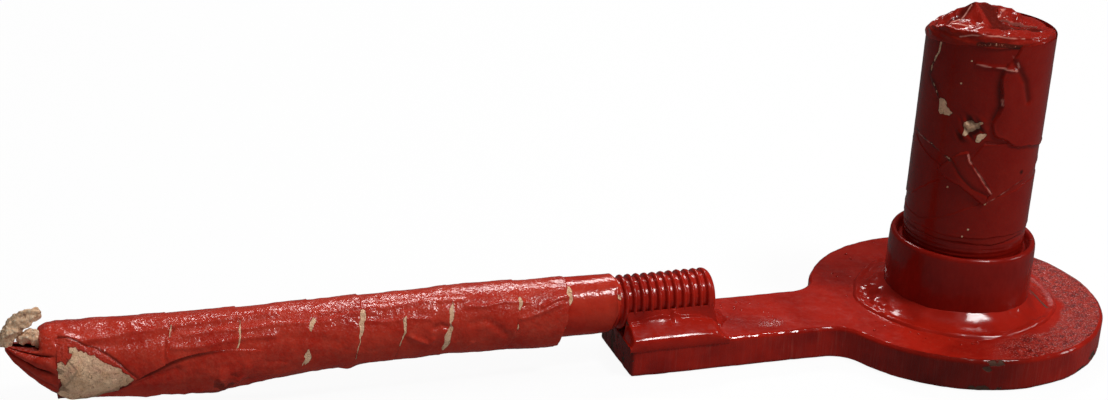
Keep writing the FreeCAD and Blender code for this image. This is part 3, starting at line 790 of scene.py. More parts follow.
def make_plate(top_look, side_look):
    """The head plate: its flame-cut sides with their worn edges, and its two faces."""
    ring = plate_outline()
    count = len(ring)
    ahead = np.roll(ring, -1, 0) - np.roll(ring, 1, 0)
    outward = np.stack([ahead[:, 1], -ahead[:, 0]], -1)
    outward /= np.hypot(*outward.T)[:, None]
    low = [(PLATE_EDGE * inset, PLATE_EDGE * z) for inset, z in CHAMFER]
    tall = [(0.0, z) for z in np.linspace(PLATE_EDGE, PLATE_TOP - PLATE_EDGE, 21)[1:-1]]
    high = [(inset, PLATE_TOP - z) for inset, z in reversed(low)]
    rows = low + tall + high
    inset = np.array([row[0] for row in rows])[:, None]
    height = np.array([row[1] for row in rows])[:, None] + np.zeros((1, count))
    flat = ring[None] - outward[None] * inset[..., None]
    side = np.concatenate([flat, height[..., None]], -1)
    wave = 0.28 * layers_of_noise(side * (1, 1, 0.35), 14.0, 2, 5) + 0.10 * noise(side * (1, 1, 0.12), 2.2, 8)
    dents = plate_chips(side)
    turn = np.degrees(np.arctan2(side[..., 1], side[..., 0]))
    # Painted shade on the disk's side that faces front left, away from the lamps; the arm's end face is
    # darkened as well.
    grime_and_shade = 0.75 * smooth(-146, -128, turn) * (1 - smooth(-98, -72, turn)) * (side[..., 0] > -70)
    grime_and_shade = np.maximum(grime_and_shade, 0.85 * smooth(-ARM_TIP + 3.0, -ARM_TIP + 0.5, side[..., 0]))
    grime_and_shade = grime_and_shade * (0.8 + 0.3 * noise(side, 11.0, 24))
    edge = smooth(PLATE_TOP - 2.4, PLATE_TOP - 1.2, height)
    side[..., :2] += outward[None] * (wave - 0.35 * dents - 0.12)[..., None]
    side[..., 2] += smooth(PLATE_TOP - 2, PLATE_TOP, height) * 0.14 * noise(side, 5.0, 31)
    faces = grid_faces(len(rows), count, True)
    masks = {"chip": dents, "grime_and_shade": np.clip(grime_and_shade, 0, 1), "edge": edge}
    make_piece("head_plate_sides", side, faces, side_look, ["head_plate"], masks)
    make_plate_face("head_plate_top", side[-1], top_look, PLATE_TOP, True)
    make_plate_face("head_plate_underside", side[0][::-1], top_look, 0.0, False)


def make_plate_face(name, ring, look, level, upper):
    """The plate's top or underside: a net of triangles inside the edge, a little uneven."""
    step = 2.1
    lines = np.arange(-HEAD_RADIUS, HEAD_RADIUS, step * 0.87)
    xs, ys = np.meshgrid(np.arange(-ARM_TIP, HEAD_RADIUS, step), lines, indexing="ij")
    xs = xs + (np.arange(xs.shape[1]) % 2)[None] * step / 2
    flat = np.stack([xs.ravel(), ys.ravel(), 0 * xs.ravel()], -1)
    flat[:, 0] += 0.3 * noise(flat, 1.7, 71)
    outline = [tuple(p) for p in ring[::2, :2]]
    flat = flat[region_distance(flat[:, 0], flat[:, 1], outline) < -1.3]
    count = len(ring)
    plan = [Vector(p[:2]) for p in ring] + [Vector(p[:2]) for p in flat]
    edges = [(k, (k + 1) % count) for k in range(count)]
    out_points, _, out_faces, origins, _, _ = delaunay_2d_cdt(plan, edges, [], 1, 1e-6)
    points = np.array([(p.x, p.y, level) for p in out_points])
    for k, origin in enumerate(origins):
        if origin and origin[0] < count:
            points[k, 2] = ring[origin[0], 2]
    far = np.maximum(0, -region_distance(points[:, 0], points[:, 1], outline))
    settle = smooth(0, 6, far)
    rough = rough_patch(points[:, 0], points[:, 1]) if upper else np.full(len(points), 0.35)
    if upper:
        points[:, 2] += settle * (0.16 * noise(points, 17.0, 41) + 0.10 * noise(points, 4.0, 42))
        points[:, 2] -= settle * rough * 0.35 * np.maximum(0, noise(points, 3.4, 43))
    else:
        points[:, 2] += settle * 0.12 * (1 + noise(points, 6.0, 44))
    faces = [tuple(face) if upper else tuple(face)[::-1] for face in out_faces]
    make_piece(name, points, faces, look, (), {"chip": 0 * rough, "rough": rough})


# ---- coupling, its weld and the stub ------------------------------------------------------


def make_coupling(look):
    """The half coupling, with a worn rim round its recessed mouth."""
    top, wall = COUPLING_TOP, COUPLING_RADIUS
    outline = soften(
        [
            (wall + 0.4, PLATE_TOP - 1.0),
            (wall, PLATE_TOP + 6.0),
            (wall, top - 2.4),
            (wall - 0.7, top - 0.6),
            (wall - 2.0, top + 0.1),
            (wall - 3.2, top - 0.6),
            (wall - 3.9, top - 2.2),
            (wall - 4.1, top - 4.4),
            (wall - 4.8, top - 5.2),
            (PIPE_RADIUS - 0.4, top - 5.0),
        ],
        2,
    )
    radius, height, turn = lathe(resample(outline, 0.55), 300)
    points = ring_points(radius, height, turn)
    swell = 0.16 * layers_of_noise(points, 16.0, 2, 61) + 0.05 * noise(points, 2.5, 63)
    swell += 0.14 * noise(points * (1, 1, 0.2), 4.0, 64) * smooth(top - 8, top - 26, height)
    points = ring_points(radius + swell, height + 0.12 * noise(points, 6.0, 65) * (height > top - 6), turn)
    nick = np.hypot(turn - math.radians(360 - 28), (height - top) / 40) * 36
    masks = {"chip": np.clip(1 - nick, 0, 1), "rough": 0 * radius}
    faces = grid_faces(*radius.shape, True)
    make_piece("pipe_coupling_ring", points, faces, look, ["pipe_coupling"], masks)


APRON_BLOBS = (  # plan angle, radius, width and rise of the lumps that catch the light on the apron
    (-70.0, 38.5, 2.2, 0.8),
    (-64.0, 37.5, 2.0, 0.7),
    (-61.0, 46.0, 2.6, 0.7),
    (-54.0, 48.0, 2.2, 0.5),
    (-50.0, 40.0, 3.0, 0.6),
    (146.0, 40.0, 2.2, 1.0),
    (153.0, 42.5, 2.8, 1.3),
    (162.0, 44.0, 3.2, 1.3),
    (171.0, 42.0, 2.6, 1.1),
    (180.0, 45.5, 2.4, 0.9),
    (-172.0, 48.0, 2.0, 0.8),
    (-162.0, 49.5, 1.8, 0.7),
)


def make_coupling_weld(look):
    """A wide apron of weld: smooth and glossy in front, with a rolled lip and a pit on the left."""
    columns, rows = 420, 64
    turn = turn_grid(rows, columns)
    share = share_grid(rows, columns)
    round_it = ring_points(30.0, 0.0, turn)
    leg = WELD_RADIUS - COUPLING_RADIUS
    leg = leg * (0.95 + 0.07 * noise(round_it, 17.0, 81) + 0.03 * noise(round_it, 5.0, 82))
    degrees = stem_facing(turn)
    leg = leg + 1.8 * bell((degrees + 62) / 22) - 1.8 * bell((degrees - 50) / 24)
    tall = (span("coupling_weld")[1][2] - PLATE_TOP) * (0.92 + 0.10 * noise(round_it, 14.0, 83))
    radius = COUPLING_RADIUS - 0.6 + (leg + 0.6) * (1 - share)
    slope = 0.22 * share + 0.78 * share**2.4
    lip = 1.7 * np.sin(np.clip(share / 0.13, 0, 1) * math.pi / 2) - 0.9 * smooth(0.10, 0.34, share)
    height = PLATE_TOP - 0.4 + lip + tall * slope
    points = ring_points(radius, height, turn)
    busy = 0.25 + 0.75 * smooth(60, 110, np.abs(degrees))
    bump = 0.45 * noise(points, 8.0, 84) + 0.30 * noise(points, 3.2, 85) * busy
    left = bell((degrees + 60) / 15, (share - 0.42) / 0.22)
    bump += left * (1.0 * noise(points, 2.6, 86) - 1.6)
    for at, far, wide, rise in APRON_BLOBS:
        a = math.radians(at)
        off = np.hypot(points[..., 0] - far * math.cos(a), points[..., 1] - far * math.sin(a)) / wide
        bump += rise * bell(off) * (1 + 0.5 * noise(points, 2.2, 88))
    bump += 0.25 * bell(share / 0.16) * noise(points, 5.0, 87)
    height = height + bump * smooth(0.0, 0.06, share) * smooth(1.02, 0.9, share)
    points = ring_points(radius, height, turn)
    rough = 0.5 * smooth(75, 110, degrees) * smooth(0.75, 0.3, share)
    scratch = line_distance(points[..., 0], points[..., 1], [(36.0, -14.5), (38.5, -26.0)])
    masks = {"chip": 0.85 * smooth(1.3, 0.4, scratch), "rough": rough}
    faces = grid_faces(rows, columns, True)
    make_piece("coupling_weld_apron", points, faces, look, ["coupling_weld"], masks)


BARE_THREAD = 2.2  # the pipe thread's pitch


def make_pipe(look):
    """The stub's wall, inside and out, with the threads that its tape and the coupling leave bare."""
    inside = PIPE_RADIUS - PIPE_WALL
    under_tape = PIPE_RADIUS - 0.35
    shoulder = COUPLING_TOP + 5.5
    outline = [
        (inside, PIPE_TOP),
        (under_tape, PIPE_TOP),
        (under_tape, shoulder + 0.5),
        (PIPE_RADIUS, shoulder),
        (PIPE_RADIUS, PIPE_FOOT),
        (inside, PIPE_FOOT),
        (inside, PIPE_TOP),
    ]
    radius, height, turn = lathe(resample(outline, 0.5)[::-1], 200)
    wound = np.abs(((height / BARE_THREAD - turn / (2 * math.pi)) % 1.0) - 0.5) * 2
    bare = smooth(COUPLING_TOP - 7, COUPLING_TOP - 5, height) * (1 - smooth(shoulder - 1.5, shoulder, height))
    skin = ring_points(radius, height, turn)
    filled = smooth(-0.3, 0.5, noise(skin * (0.3, 0.3, 1.0), 5.0, 71))
    cut = 0.26 * smooth(0.25, 0.75, wound) * bare * (radius > PIPE_RADIUS - 0.1) * (1 - 0.8 * filled)
    points = ring_points(radius - cut + 0.08 * noise(skin, 4.0, 72) * (height < shoulder), height, turn)
    faces, plain = grid_faces(*radius.shape, True), plain_paint(radius)
    make_piece("socket_pipe_wall", points, faces, look, ["socket_pipe"], plain)


# ---- handle bar and its welds -------------------------------------------------------------


def make_rod(look):
    """The bar: rounded end, painted helical thread as far as under the tape, then plain."""
    full = ROD_RADIUS
    head = [(0.0, 0.3), (7.0, 0.1), (full - 1.6, 0.5), (full - 0.3, 1.8), (full, 3.2)]
    head = [(radius, ROD_START + x) for radius, x in head]
    body = [(full, x) for x in np.arange(ROD_START + 3.6, THREAD_END, 0.27)]
    tail = [(full, x) for x in np.linspace(THREAD_END, ROD_END, 30)]
    tail += [(full - 2, ROD_END + 0.2), (0.0, ROD_END + 0.2)]
    outline = np.array(resample(soften(head, 2), 0.5).tolist() + body + tail)
    radius, along, turn = lathe(outline, 144)
    wound = np.abs((((along - ROD_START) / THREAD_PITCH + turn / (2 * math.pi)) % 1.0) - 0.5) * 2
    depth = 1.75 * (1 - smooth(0.34, 0.72, wound)) + 0.22 * (1 - smooth(0.72, 1.0, wound))
    where = smooth(ROD_START + 2.5, ROD_START + 4.5, along) * (1 - smooth(THREAD_END - 2, THREAD_END, along))
    skin = bar_points(radius, along, turn)
    lumps = 0.10 * noise(skin, 6.0, 91) + 0.09 * noise(skin, 2.0, 92)
    lumps = lumps + 0.35 * np.maximum(0, noise(skin, 3.0, 93) - 0.45)
    filled = 0.25 * np.maximum(0, noise(skin, 9.0, 94))
    cut = radius - depth * where * (1 - filled) + lumps * (along < THREAD_END)
    radius = np.where(radius > 1, cut, radius)
    points = bar_points(radius, along, turn)
    faces = grid_faces(*radius.shape, True)
    make_piece("handle_rod_bar", points, faces, look, ["handle_rod"], plain_paint(radius))


# The side weld's outline across the handle: (distance out from the bar's middle, height).
WELD_PROFILE = (
    (12.7, 29.6), (13.3, 27.6), (14.0, 25.9), (15.4, 24.8), (18.0, 23.3), (21.0, 21.5), (23.5, 19.9),
    (24.3, 18.6), (24.6, 16.0), (24.2, 13.9), (23.2, 13.1),
)

# How high the front weld's thin crest stands along it: (distance from the stub, height).
WELD_CREST = (
    (134, 18.0), (137, 20.5), (143, 23.4), (146, 24.6), (151, 25.6), (155.5, 25.8), (159, 28.0), (161, 25.9),
    (165, 27.2), (172, 26.1), (176.5, 24.4), (181, 24.1), (184, 21.5),
)
CREST_LEVEL = 26.0  # the crest's height in WELD_PROFILE


def make_side_weld(name, node, side, squeeze, look, seed):
    """A long pool of weld with a thin raised crest, beside the bar. side is 1 in front and -1 behind."""
    start, stop, rows = ROD_START - 3.0, ARM_TIP + 0.6, 170
    along = np.linspace(start, stop, rows)
    shape = np.array(WELD_PROFILE)
    shape[:, 0] = shape[0, 0] + (shape[:, 0] - shape[0, 0]) * squeeze
    points = []
    for x in along:
        section = shape.copy()
        crest = np.interp(x, *zip(*WELD_CREST)) - CREST_LEVEL
        section[1:4, 1] += crest * np.array((1.0, 0.9, 0.4))
        close = min(smooth(start, start + 6.5, x), smooth(stop, stop - 2.5, x))
        low = np.minimum(section[:, 1], PLATE_TOP - 0.2)
        section[:, 1] = low + (section[:, 1] - low) * close
        section = resample(soften(section, 1), 0.25)
        places = np.linspace(0, len(section) - 1, 110)
        section = np.stack([np.interp(places, np.arange(len(section)), section[:, k]) for k in range(2)], -1)
        section[:, 1] += 0.9 * close * bell((section[:, 0] - 14.3) / 0.34)
        out = ROD_Y - side * section[:, 0]
        points.append(np.column_stack([np.full(len(section), -x), out, section[:, 1]]))
    points = np.array(points)
    across = np.linspace(0, 1, points.shape[1])[None, :]
    push = 0.20 * noise(points, 9.0, seed) + 0.05 * noise(points, 3.0, seed + 1)
    push += 0.9 * np.maximum(0, noise(points, 4.2, seed + 2) - 0.1) * smooth(0.60, 0.78, across)
    push *= smooth(0.0, 0.1, across)
    points[..., 2] += push * 0.75
    points[..., 1] -= side * push * 0.65
    if side < 0:
        points[..., 2] = np.maximum(points[..., 2], PLATE_TOP - 0.3)
    faces = grid_faces(points.shape[0], points.shape[1], False)
    if side > 0:
        faces = faces[:, ::-1]
    end = smooth(ARM_TIP - 5, ARM_TIP, -points[..., 0]) * smooth(0.1, 0.5, noise(points, 3.0, seed + 5)) * 0.8
    make_piece(name, points, faces, look, [node], {"chip": end, "rough": 0 * end})


def make_end_weld(look):
    """The lumpy weld round the bar's end, as a half dome on the plate with runs of paint on it."""
    columns, rows = 90, 26
    turn = np.repeat(np.linspace(-0.62 * math.pi, 0.62 * math.pi, columns)[None], rows, 0)
    share = share_grid(rows, columns)
    plan = np.stack([np.cos(turn), np.sin(turn), 0 * turn], -1)
    radius = 11.5 * (1 + 0.16 * noise(plan * 10, 5.0, 101)) * (1 - share)
    height = PLATE_TOP - 0.3 + 7.5 * share**1.35 + 1.2 * smooth(0, 0.12, share)
    x = -ROD_START + radius * plan[..., 0] - 2.0
    y = ROD_Y + radius * 1.05 * plan[..., 1]
    points = np.stack([x, y, height], -1)
    points[..., 2] += smooth(0, 0.15, share) * (0.9 * noise(points, 4.0, 102) + 0.5 * noise(points, 1.8, 103))
    faces = grid_faces(rows, columns, False)
    node = ["handle_end_weld"]
    make_piece("handle_end_weld_dome", points, faces, look, node, plain_paint(share))


def make_spatter(look):
    """Beads of spatter on the plate round both welds."""
    spots = []
    for k in range(70):
        a, b, c = (float(lattice(np.array([k, n, 5]), 9)) for n in range(3))
        if k < 46:
            radius, turn = WELD_RADIUS + 1 + 17 * b * b, 2 * math.pi * a
            spots.append((radius * math.cos(turn), radius * math.sin(turn), 0.35 + 0.5 * c))
        else:
            spots.append((-ROD_START + 8 + 26 * b, ROD_Y + 30 * (a - 0.5), 0.3 + 0.45 * c))
    points, faces = [], []
    rings, columns = 5, 10
    for x, y, size in spots:
        base = len(points)
        for r in range(rings):
            lift = r / (rings - 1) * math.pi / 2
            for c in range(columns):
                a = 2 * math.pi * c / columns
                wide = size * math.cos(lift) + 1e-3
                z = PLATE_TOP - 0.1 + size * 0.8 * math.sin(lift)
                points.append((x + wide * math.cos(a), y + wide * math.sin(a), z))
        faces += (grid_faces(rings, columns, True) + base).tolist()
    plain = plain_paint(np.zeros(len(points)))
    make_piece("weld_spatter", points, faces, look, (), plain)


# ---- tape on the handle -------------------------------------------------------------------

# Radii about the bar at which noise is read, for the turns and for what lies on them.
TURN_SKIN = 15.0
FOLD_SKIN = 16.0

# How far the wrap reaches from the bar's middle, above and below it.
WRAP_ABOVE = (
    (208, 14.4), (222, 14.4), (242, 15.0), (262, 15.3), (291, 14.6), (338, 14.2), (384, 13.7), (411, 14.2),
    (428, 15.0), (446, 15.6),
)
WRAP_BELOW = (
    (208, 17.6), (222, 18.2), (242, 17.2), (262, 16.2), (291, 16.6), (338, 18.4), (366, 20.0), (384, 20.6),
    (411, 20.3), (428, 19.2), (446, 18.0),
)

# Each seam across the wrap: where it is in front, then its cracks, each a short line of
# (degrees round the bar, half its width).
SEAMS = (
    (213.3, ((28, 0.0), (38, 1.1), (56, 1.3), (70, 0.5)), ((-28, 0.0), (-10, 0.5), (2, 0.0))),
    (237.8, ((26, 0.0), (34, 0.8), (52, 0.7), (58, 0.0)), ((-8, 0.0), (0, 0.4), (10, 0.0))),
    (
        270.8,
        ((-40, 0.4), (-26, 1.3), (-6, 1.7), (8, 1.1), (16, 0.4), (24, 1.0), (36, 1.2), (50, 0.4), (62, 0.0)),
    ),
    (292.9, ((-28, 0.0), (-14, 0.35), (16, 0.6), (32, 0.8), (38, 0.0))),
    (313.2, ((-34, 0.0), (-10, 0.25), (8, 0.5), (24, 1.1), (46, 1.5), (56, 0.9), (58, 0.0))),
    (336.6, ((24, 0.0), (32, 1.0), (44, 1.3), (52, 0.2)), ((-38, 0.0), (-26, 1.4), (-12, 1.6), (-2, 0.4))),
    (369.5, ((10, 0.3), (22, 0.4), (40, 0.5), (60, 0.3))),
    (400.6, ((62, 0.0), (50, 0.1), (40, 0.1), (30, 0.0))),
)

# Creases in the wrap: a line of (along, degrees round it), how high it stands, and its width.
CREASES = (
    (((445, 60), (437, 46), (429, 48), (417, 54), (406, 55), (398, 61), (376, 64), (350, 68)), 0.95, 1.6),
    (((434, 39), (424, 33), (412, 35), (401, 44)), -0.60, 1.8),
    (((392, 40), (380, 44), (366, 41), (352, 46), (338, 42)), 0.55, 1.3),
    (((398, 22), (388, 19), (376, 24), (366, 27), (352, 25)), 0.65, 1.4),
    (((330, 58), (316, 62), (300, 57), (284, 61), (262, 56)), 0.60, 1.3),
    (((310, 36), (300, 30), (290, 33), (280, 28)), 0.50, 1.2),
    (((262, 44), (252, 40), (244, 46), (232, 41)), 0.60, 1.2),
    (((236, 14), (230, 18), (223, 25), (216, 33)), 0.75, 1.1),
    (((225, 31), (219, 41), (213, 44)), 0.70, 1.0),
    (((290, 2), (286, -7), (281, -16), (279, -8)), 0.90, 1.2),
    (((278, 12), (275, 16), (271, 10)), -1.00, 1.4),
    (((260, 14), (253, 17), (248, 4), (243, -12), (240, -45)), -0.70, 2.0),
    (((263, -32), (260, -22)), 0.70, 1.0),
    (((357, 19), (347, 20), (335, 13), (326, 6)), -0.50, 2.6),
    (((330, 40), (318, 52), (306, 50)), 0.50, 1.4),
    (((399, 62), (397, 52), (401, 38), (402, 5)), -0.60, 0.8),
)

# The loose long edge that is folded up over the lower front: (along, degrees) of its upper line.
FOLD_LINE = (
    (214, -46), (240, -48), (262, -43), (290, -41), (305, -39), (318, -38), (326, -43), (334, -38),
    (346, -12), (356, 4), (366, 8), (374, 14), (384, 10), (393, 7), (402, -2), (408, -12), (414, -20),
    (420, -33), (445, -60),
)

# The creases in that edge: a line of (along, degrees), and how high it stands.
FOLD_CREASES = (
    (((419, -31), (408, -19), (397, -9)), -0.9),
    (((399, -50), (393, -56), (386, -45)), 0.8),
)

# The corner folded back at the free end, and the part of it that no paint reached.
CORNER = (
    (452, 58), (443, 52), (437, 40), (431, 31), (427, 22), (423, 10), (419, -5), (414, -20), (421, -36),
    (429, -45), (438, -61), (450, -70), (453, 0),
)
BARE_PATCH = (
    (442, 35), (437, 31), (431, 19), (426, 6), (421, -6), (416, -15), (419, -30), (426, -41), (433, -53),
    (441, -66), (448, -60), (447, -15), (445, 5), (443, 23),
)

# The two pleats across the bare corner, painted with shade.
PLEATS = (((417, -27), (428, -43), (441, -58)), ((444, 20), (440, 2), (445, -22)))


def seam_at(n, turn):
    """Where seam n lies at each angle round the bar: slanted, and a little ragged."""
    ragged = noise(np.stack([30 * np.cos(turn), 30 * np.sin(turn), 17.0 * n + 0 * turn], -1), 5.0, 120 + n)
    return SEAMS[n][0] - 3.3 * np.sin(turn - 0.1) + 0.7 * ragged


def degrees_round(turn):
    """Turns as degrees from -180 to 180."""
    return np.degrees((turn + math.pi) % (2 * math.pi) - math.pi)


def wrap_radius(along, turn):
    """The wrap's form without its seams and folds: an off-centre, dented and creased round."""
    above, below = blend_curve(along, WRAP_ABOVE), blend_curve(along, WRAP_BELOW)
    drop, middle = (below - above) / 2, (below + above) / 2
    radius = -drop * np.sin(turn) + np.sqrt(middle**2 - (drop * np.cos(turn)) ** 2)
    skin = bar_points(radius, along, turn)
    degrees = degrees_round(turn)
    arc = bar_arc(degrees)
    for line, tall, wide in CREASES:
        radius = radius + tall * bell(line_distance(along, arc, on_wrap(line)) / wide)
    radius = radius + 0.30 * noise(skin, 24.0, 130) + 0.34 * facets(skin * (0.6, 1, 1), 7.5, 131)
    radius = radius + 0.16 * facets(skin, 3.8, 134) + 0.09 * noise(skin, 2.4, 132)
    return radius + 0.05 * noise(skin, 1.2, 133)


def fold_depth(along, turn):
    """The distance below the folded edge's upper line, round the wrap, in millimetres."""
    line = blend_curve(along, FOLD_LINE)
    return bar_arc(line - degrees_round(turn))


def seam_crack(n, along, turn):
    """How far open seam n is torn at each point, from 0 to 1."""
    degrees = degrees_round(turn)
    skin = bar_points(TURN_SKIN, along, turn)
    wear = np.zeros(along.shape)
    for crack in SEAMS[n][1:]:
        places, widths = zip(*sorted(crack))
        half = np.interp(degrees, places, widths, left=-1.0, right=-1.0)
        off = np.abs(along - seam_at(n, turn)) - half - 0.35 * noise(skin, 2.2, 165 + n)
        wear = np.maximum(wear, smooth(0.35, -0.35, off) * (half > -0.5))
    return wear


def make_grip_base(look):
    """The tight first layer between the thread and the wrap, with a curled end."""
    columns = 220
    along = np.repeat(np.arange(GRIP_START - 4.0, 236.5, 0.5)[:, None], columns, 1)
    turn = turn_grid(len(along), columns)
    skin = bar_points(14.2, along, turn)
    degrees = degrees_round(turn)
    edge = GRIP_START + 0.5 - 2.4 * np.sin(turn + 0.2) + 0.6 * noise(skin * (0.1, 1, 1), 5.0, 143)
    radius = 14.15 + 0.12 * noise(skin, 10.0, 140) + 0.07 * noise(skin, 2.4, 141)
    radius += 0.30 * np.maximum(0, noise(skin * (0.35, 1, 1), 5.0, 142) - 0.2) + 0.12 * facets(skin, 6.0, 144)
    radius += 0.9 * bell((along - edge) / 1.3) * bell((degrees - 18) / 26)
    radius -= 1.8 * (1 - smooth(edge - 0.3, edge + 0.5, along))
    faces = grid_faces(*along.shape, True)
    kept = ((along - edge).ravel()[faces] > -0.9).any(1)
    curl = 0.72 * bell((degrees - 36) / 7) * smooth(1.6, 0.4, along - edge)
    crack = 0.95 * seam_crack(0, along, turn)
    masks = {"bare": np.maximum(curl, crack), "fold": 0 * along}
    points = bar_points(radius, along, turn)
    make_piece("grip_base_layer", points, faces[kept], look, ["grip_base_tape"], masks)


def make_grip_turn(n, look):
    """One visible turn of the outer wrap, from its own edge to under the next turn's."""
    last = n == len(SEAMS) - 1
    columns = 260
    around = turns(columns)
    near = seam_at(n, around)
    far = np.full(columns, WRAP_CLOSE) if last else seam_at(n + 1, around) + 2.5
    rows = int((far - near).mean() / 0.5)
    share = share_grid(rows, columns)
    turn = turn_grid(rows, columns)
    along = near[None] + (far - near)[None] * share
    skin = bar_points(TURN_SKIN, along, turn)
    from_edge = along - near[None]
    lift = 0.55 * (1 - 0.9 * share) + 0.25 * np.exp(-from_edge / 2.0) * noise(skin, 5.0, 152 + n)
    lift -= 1.1 * (1 - smooth(0.0, 0.5, from_edge))
    if last:
        lift = lift * smooth(WRAP_CLOSE, WRAP_CLOSE - 8, along)
    crack = seam_crack(n, along, turn)
    lift -= 0.45 * crack
    radius = wrap_radius(along, turn) + lift
    if not last:
        crack = np.maximum(crack, seam_crack(n + 1, along, turn))
    torn = crack * (0.90 + 0.12 * noise(skin, 1.8, 172))
    # Painted shade along the folded-back corner and at the turn's own edge.
    corner = region_distance(along, bar_arc(degrees_round(turn)), on_wrap(CORNER))
    crease = 0.8 * smooth(1.6, 0.3, corner) * smooth(-40, 0, degrees_round(turn))
    shade = 0.5 * smooth(1.2, 0.1, from_edge) * smooth(-0.4, 0.5, noise(skin, 7.0, 173))
    masks = {"bare": torn, "fold": np.maximum(shade, crease)}
    points = bar_points(radius, along, turn)
    node = f"grip_tape_turn_{n + 1}"
    make_piece(f"{node}_skin", points, grid_faces(rows, columns, True), look, [node], masks)


def make_grip_fold(look):
    """The folded long edge, a loose puckered sheet over the lower front and under the wrap."""
    start, stop = 216.0, WRAP_CLOSE + 1.0
    rows, columns = int((stop - start) / 0.5), 120
    share = np.repeat(np.linspace(0, 1, columns)[None], rows, 0)
    along = np.repeat(np.linspace(start, stop, rows)[:, None], columns, 1)
    top = blend_curve(along, FOLD_LINE) + 2.5
    turn = np.radians(-132 + (top + 132) * share)
    along = along + 2.5 * smooth(222, start, along) * smooth(-20, -70, np.degrees(turn))
    degrees = np.degrees(turn)
    depth = fold_depth(along, turn)
    skin = bar_points(FOLD_SKIN, along, turn)
    pocket = bell((along - 382) / 26)
    free = smooth(352, 374, along)
    lift = 0.10 + 1.0 * free + (0.4 + 0.3 * (1 - free)) * smooth(1, 12, depth)
    lift += 1.0 * pocket * smooth(0, 8, depth)
    lift += (0.35 + 0.5 * pocket) * facets(skin * (0.8, 1.4, 1.4), 8.0, 181) * smooth(0.5, 5, depth)
    knot = bell((along - 375) / 11, (degrees + 42) / 26)
    lift += knot * (1.7 * facets(skin, 4.2, 182) + 0.9)
    bead = bell((along - 317) / 3.5, (degrees + 62) / 12)
    lift += 1.3 * bead
    lift += 0.35 * smooth(0, 4, depth) * noise(skin * (0.22, 1, 1), 3.0, 183)
    for line, tall in FOLD_CREASES:
        lift += tall * bell(line_distance(along, bar_arc(degrees), on_wrap(line)) / 1.3)
    lift -= (0.5 + 1.4 * free) * (1 - smooth(-0.6 - 1.5 * (1 - free), 0.4, depth))
    lift -= 1.6 * (1 - smooth(0.0, 0.07, share)) + 1.0 * (1 - smooth(0, 0.8, along - along.min(0)[None]))
    radius = wrap_radius(along, turn) + lift
    # Painted shade in the crease under the folded edge and among the knot's folds.
    crease = 0.95 * smooth(1.8, 0.2, depth) * smooth(366, 388, along)
    crease = np.maximum(crease, 0.7 * knot * (noise(skin, 2.4, 184) > 0.15))
    bare = 0.9 * bell((along - 217.5) / 1.0, (degrees + 50) / 5)
    faces = grid_faces(rows, columns, False)
    masks = {"bare": bare, "fold": crease}
    points = bar_points(radius, along, turn)
    make_piece("grip_paper_fold_sheet", points, faces, look, ["grip_paper_fold"], masks)


def make_bare_flap(look):
    """The corner folded back at the free end: a red border round torn cream paper."""
    columns = 160
    along = np.repeat(np.arange(408, WRAP_CLOSE + 1.5, 0.45)[:, None], columns, 1)
    turn = np.repeat(np.radians(np.linspace(-78, 66, columns))[None], len(along), 0)
    degrees = np.degrees(turn)
    arc = bar_arc(degrees)
    skin = bar_points(FOLD_SKIN, along, turn)
    off = region_distance(along, arc, on_wrap(CORNER)) + 0.4 * noise(skin, 4.0, 191)
    patch = region_distance(along, arc, on_wrap(BARE_PATCH))
    patch = patch + 1.1 * noise(skin, 2.6, 193) + 0.6 * noise(skin, 1.1, 196)
    lift = 0.9 * smooth(0.6, -0.8, off) + 0.5 * facets(skin, 7.0, 192) * smooth(0, -3, off)
    lift += 0.35 * smooth(0.5, -0.5, patch) * facets(skin, 3.0, 194)
    under = 0.9 * smooth(-0.6, 0.5, fold_depth(along, turn))
    lift = (lift + under + 0.15) * smooth(WRAP_CLOSE + 2, WRAP_CLOSE - 6, along)
    radius = wrap_radius(along, turn) + lift - 1.4 * smooth(0.2, 1.3, off)
    faces = grid_faces(*along.shape, False)
    kept = (off.ravel()[faces] < 1.1).any(1)
    bare = smooth(1.0, -1.0, patch)
    dirt = bell((along - 447) / 3.2, (degrees - 2) / 17)
    bare = np.maximum(bare, 0.62 * smooth(0.35, 0.7, dirt + 0.25 * noise(skin, 2.0, 195)))
    # The fold mask paints shade along the corner's upper border and in the pleats, and a brown stain by the
    # free end.
    upper = smooth(-30, 0, degrees)
    brown = 0.75 * smooth(439, 446, along) * smooth(0.0, 0.5, noise(skin, 3.0, 197)) * smooth(30, 10, degrees)
    pleats = [line_distance(along, arc, on_wrap(pleat)) for pleat in PLEATS]
    pleats = np.maximum(smooth(0.9, 0.2, pleats[0]), 0.8 * smooth(0.6, 0.1, pleats[1]))
    dark = highest(0.85 * smooth(-0.5, 0.2, off) * upper, brown, 0.8 * pleats)
    masks = {"bare": bare, "fold": dark}
    points = bar_points(radius, along, turn)
    make_piece("grip_bare_corner", points, faces[kept], look, ["grip_bare_flap"], masks)


GATHER_TIP = np.array([-469.3, ROD_Y - 2.6, 38.0])
TWIST = 3.2  # radians that a rag of tape is twisted by from end to end


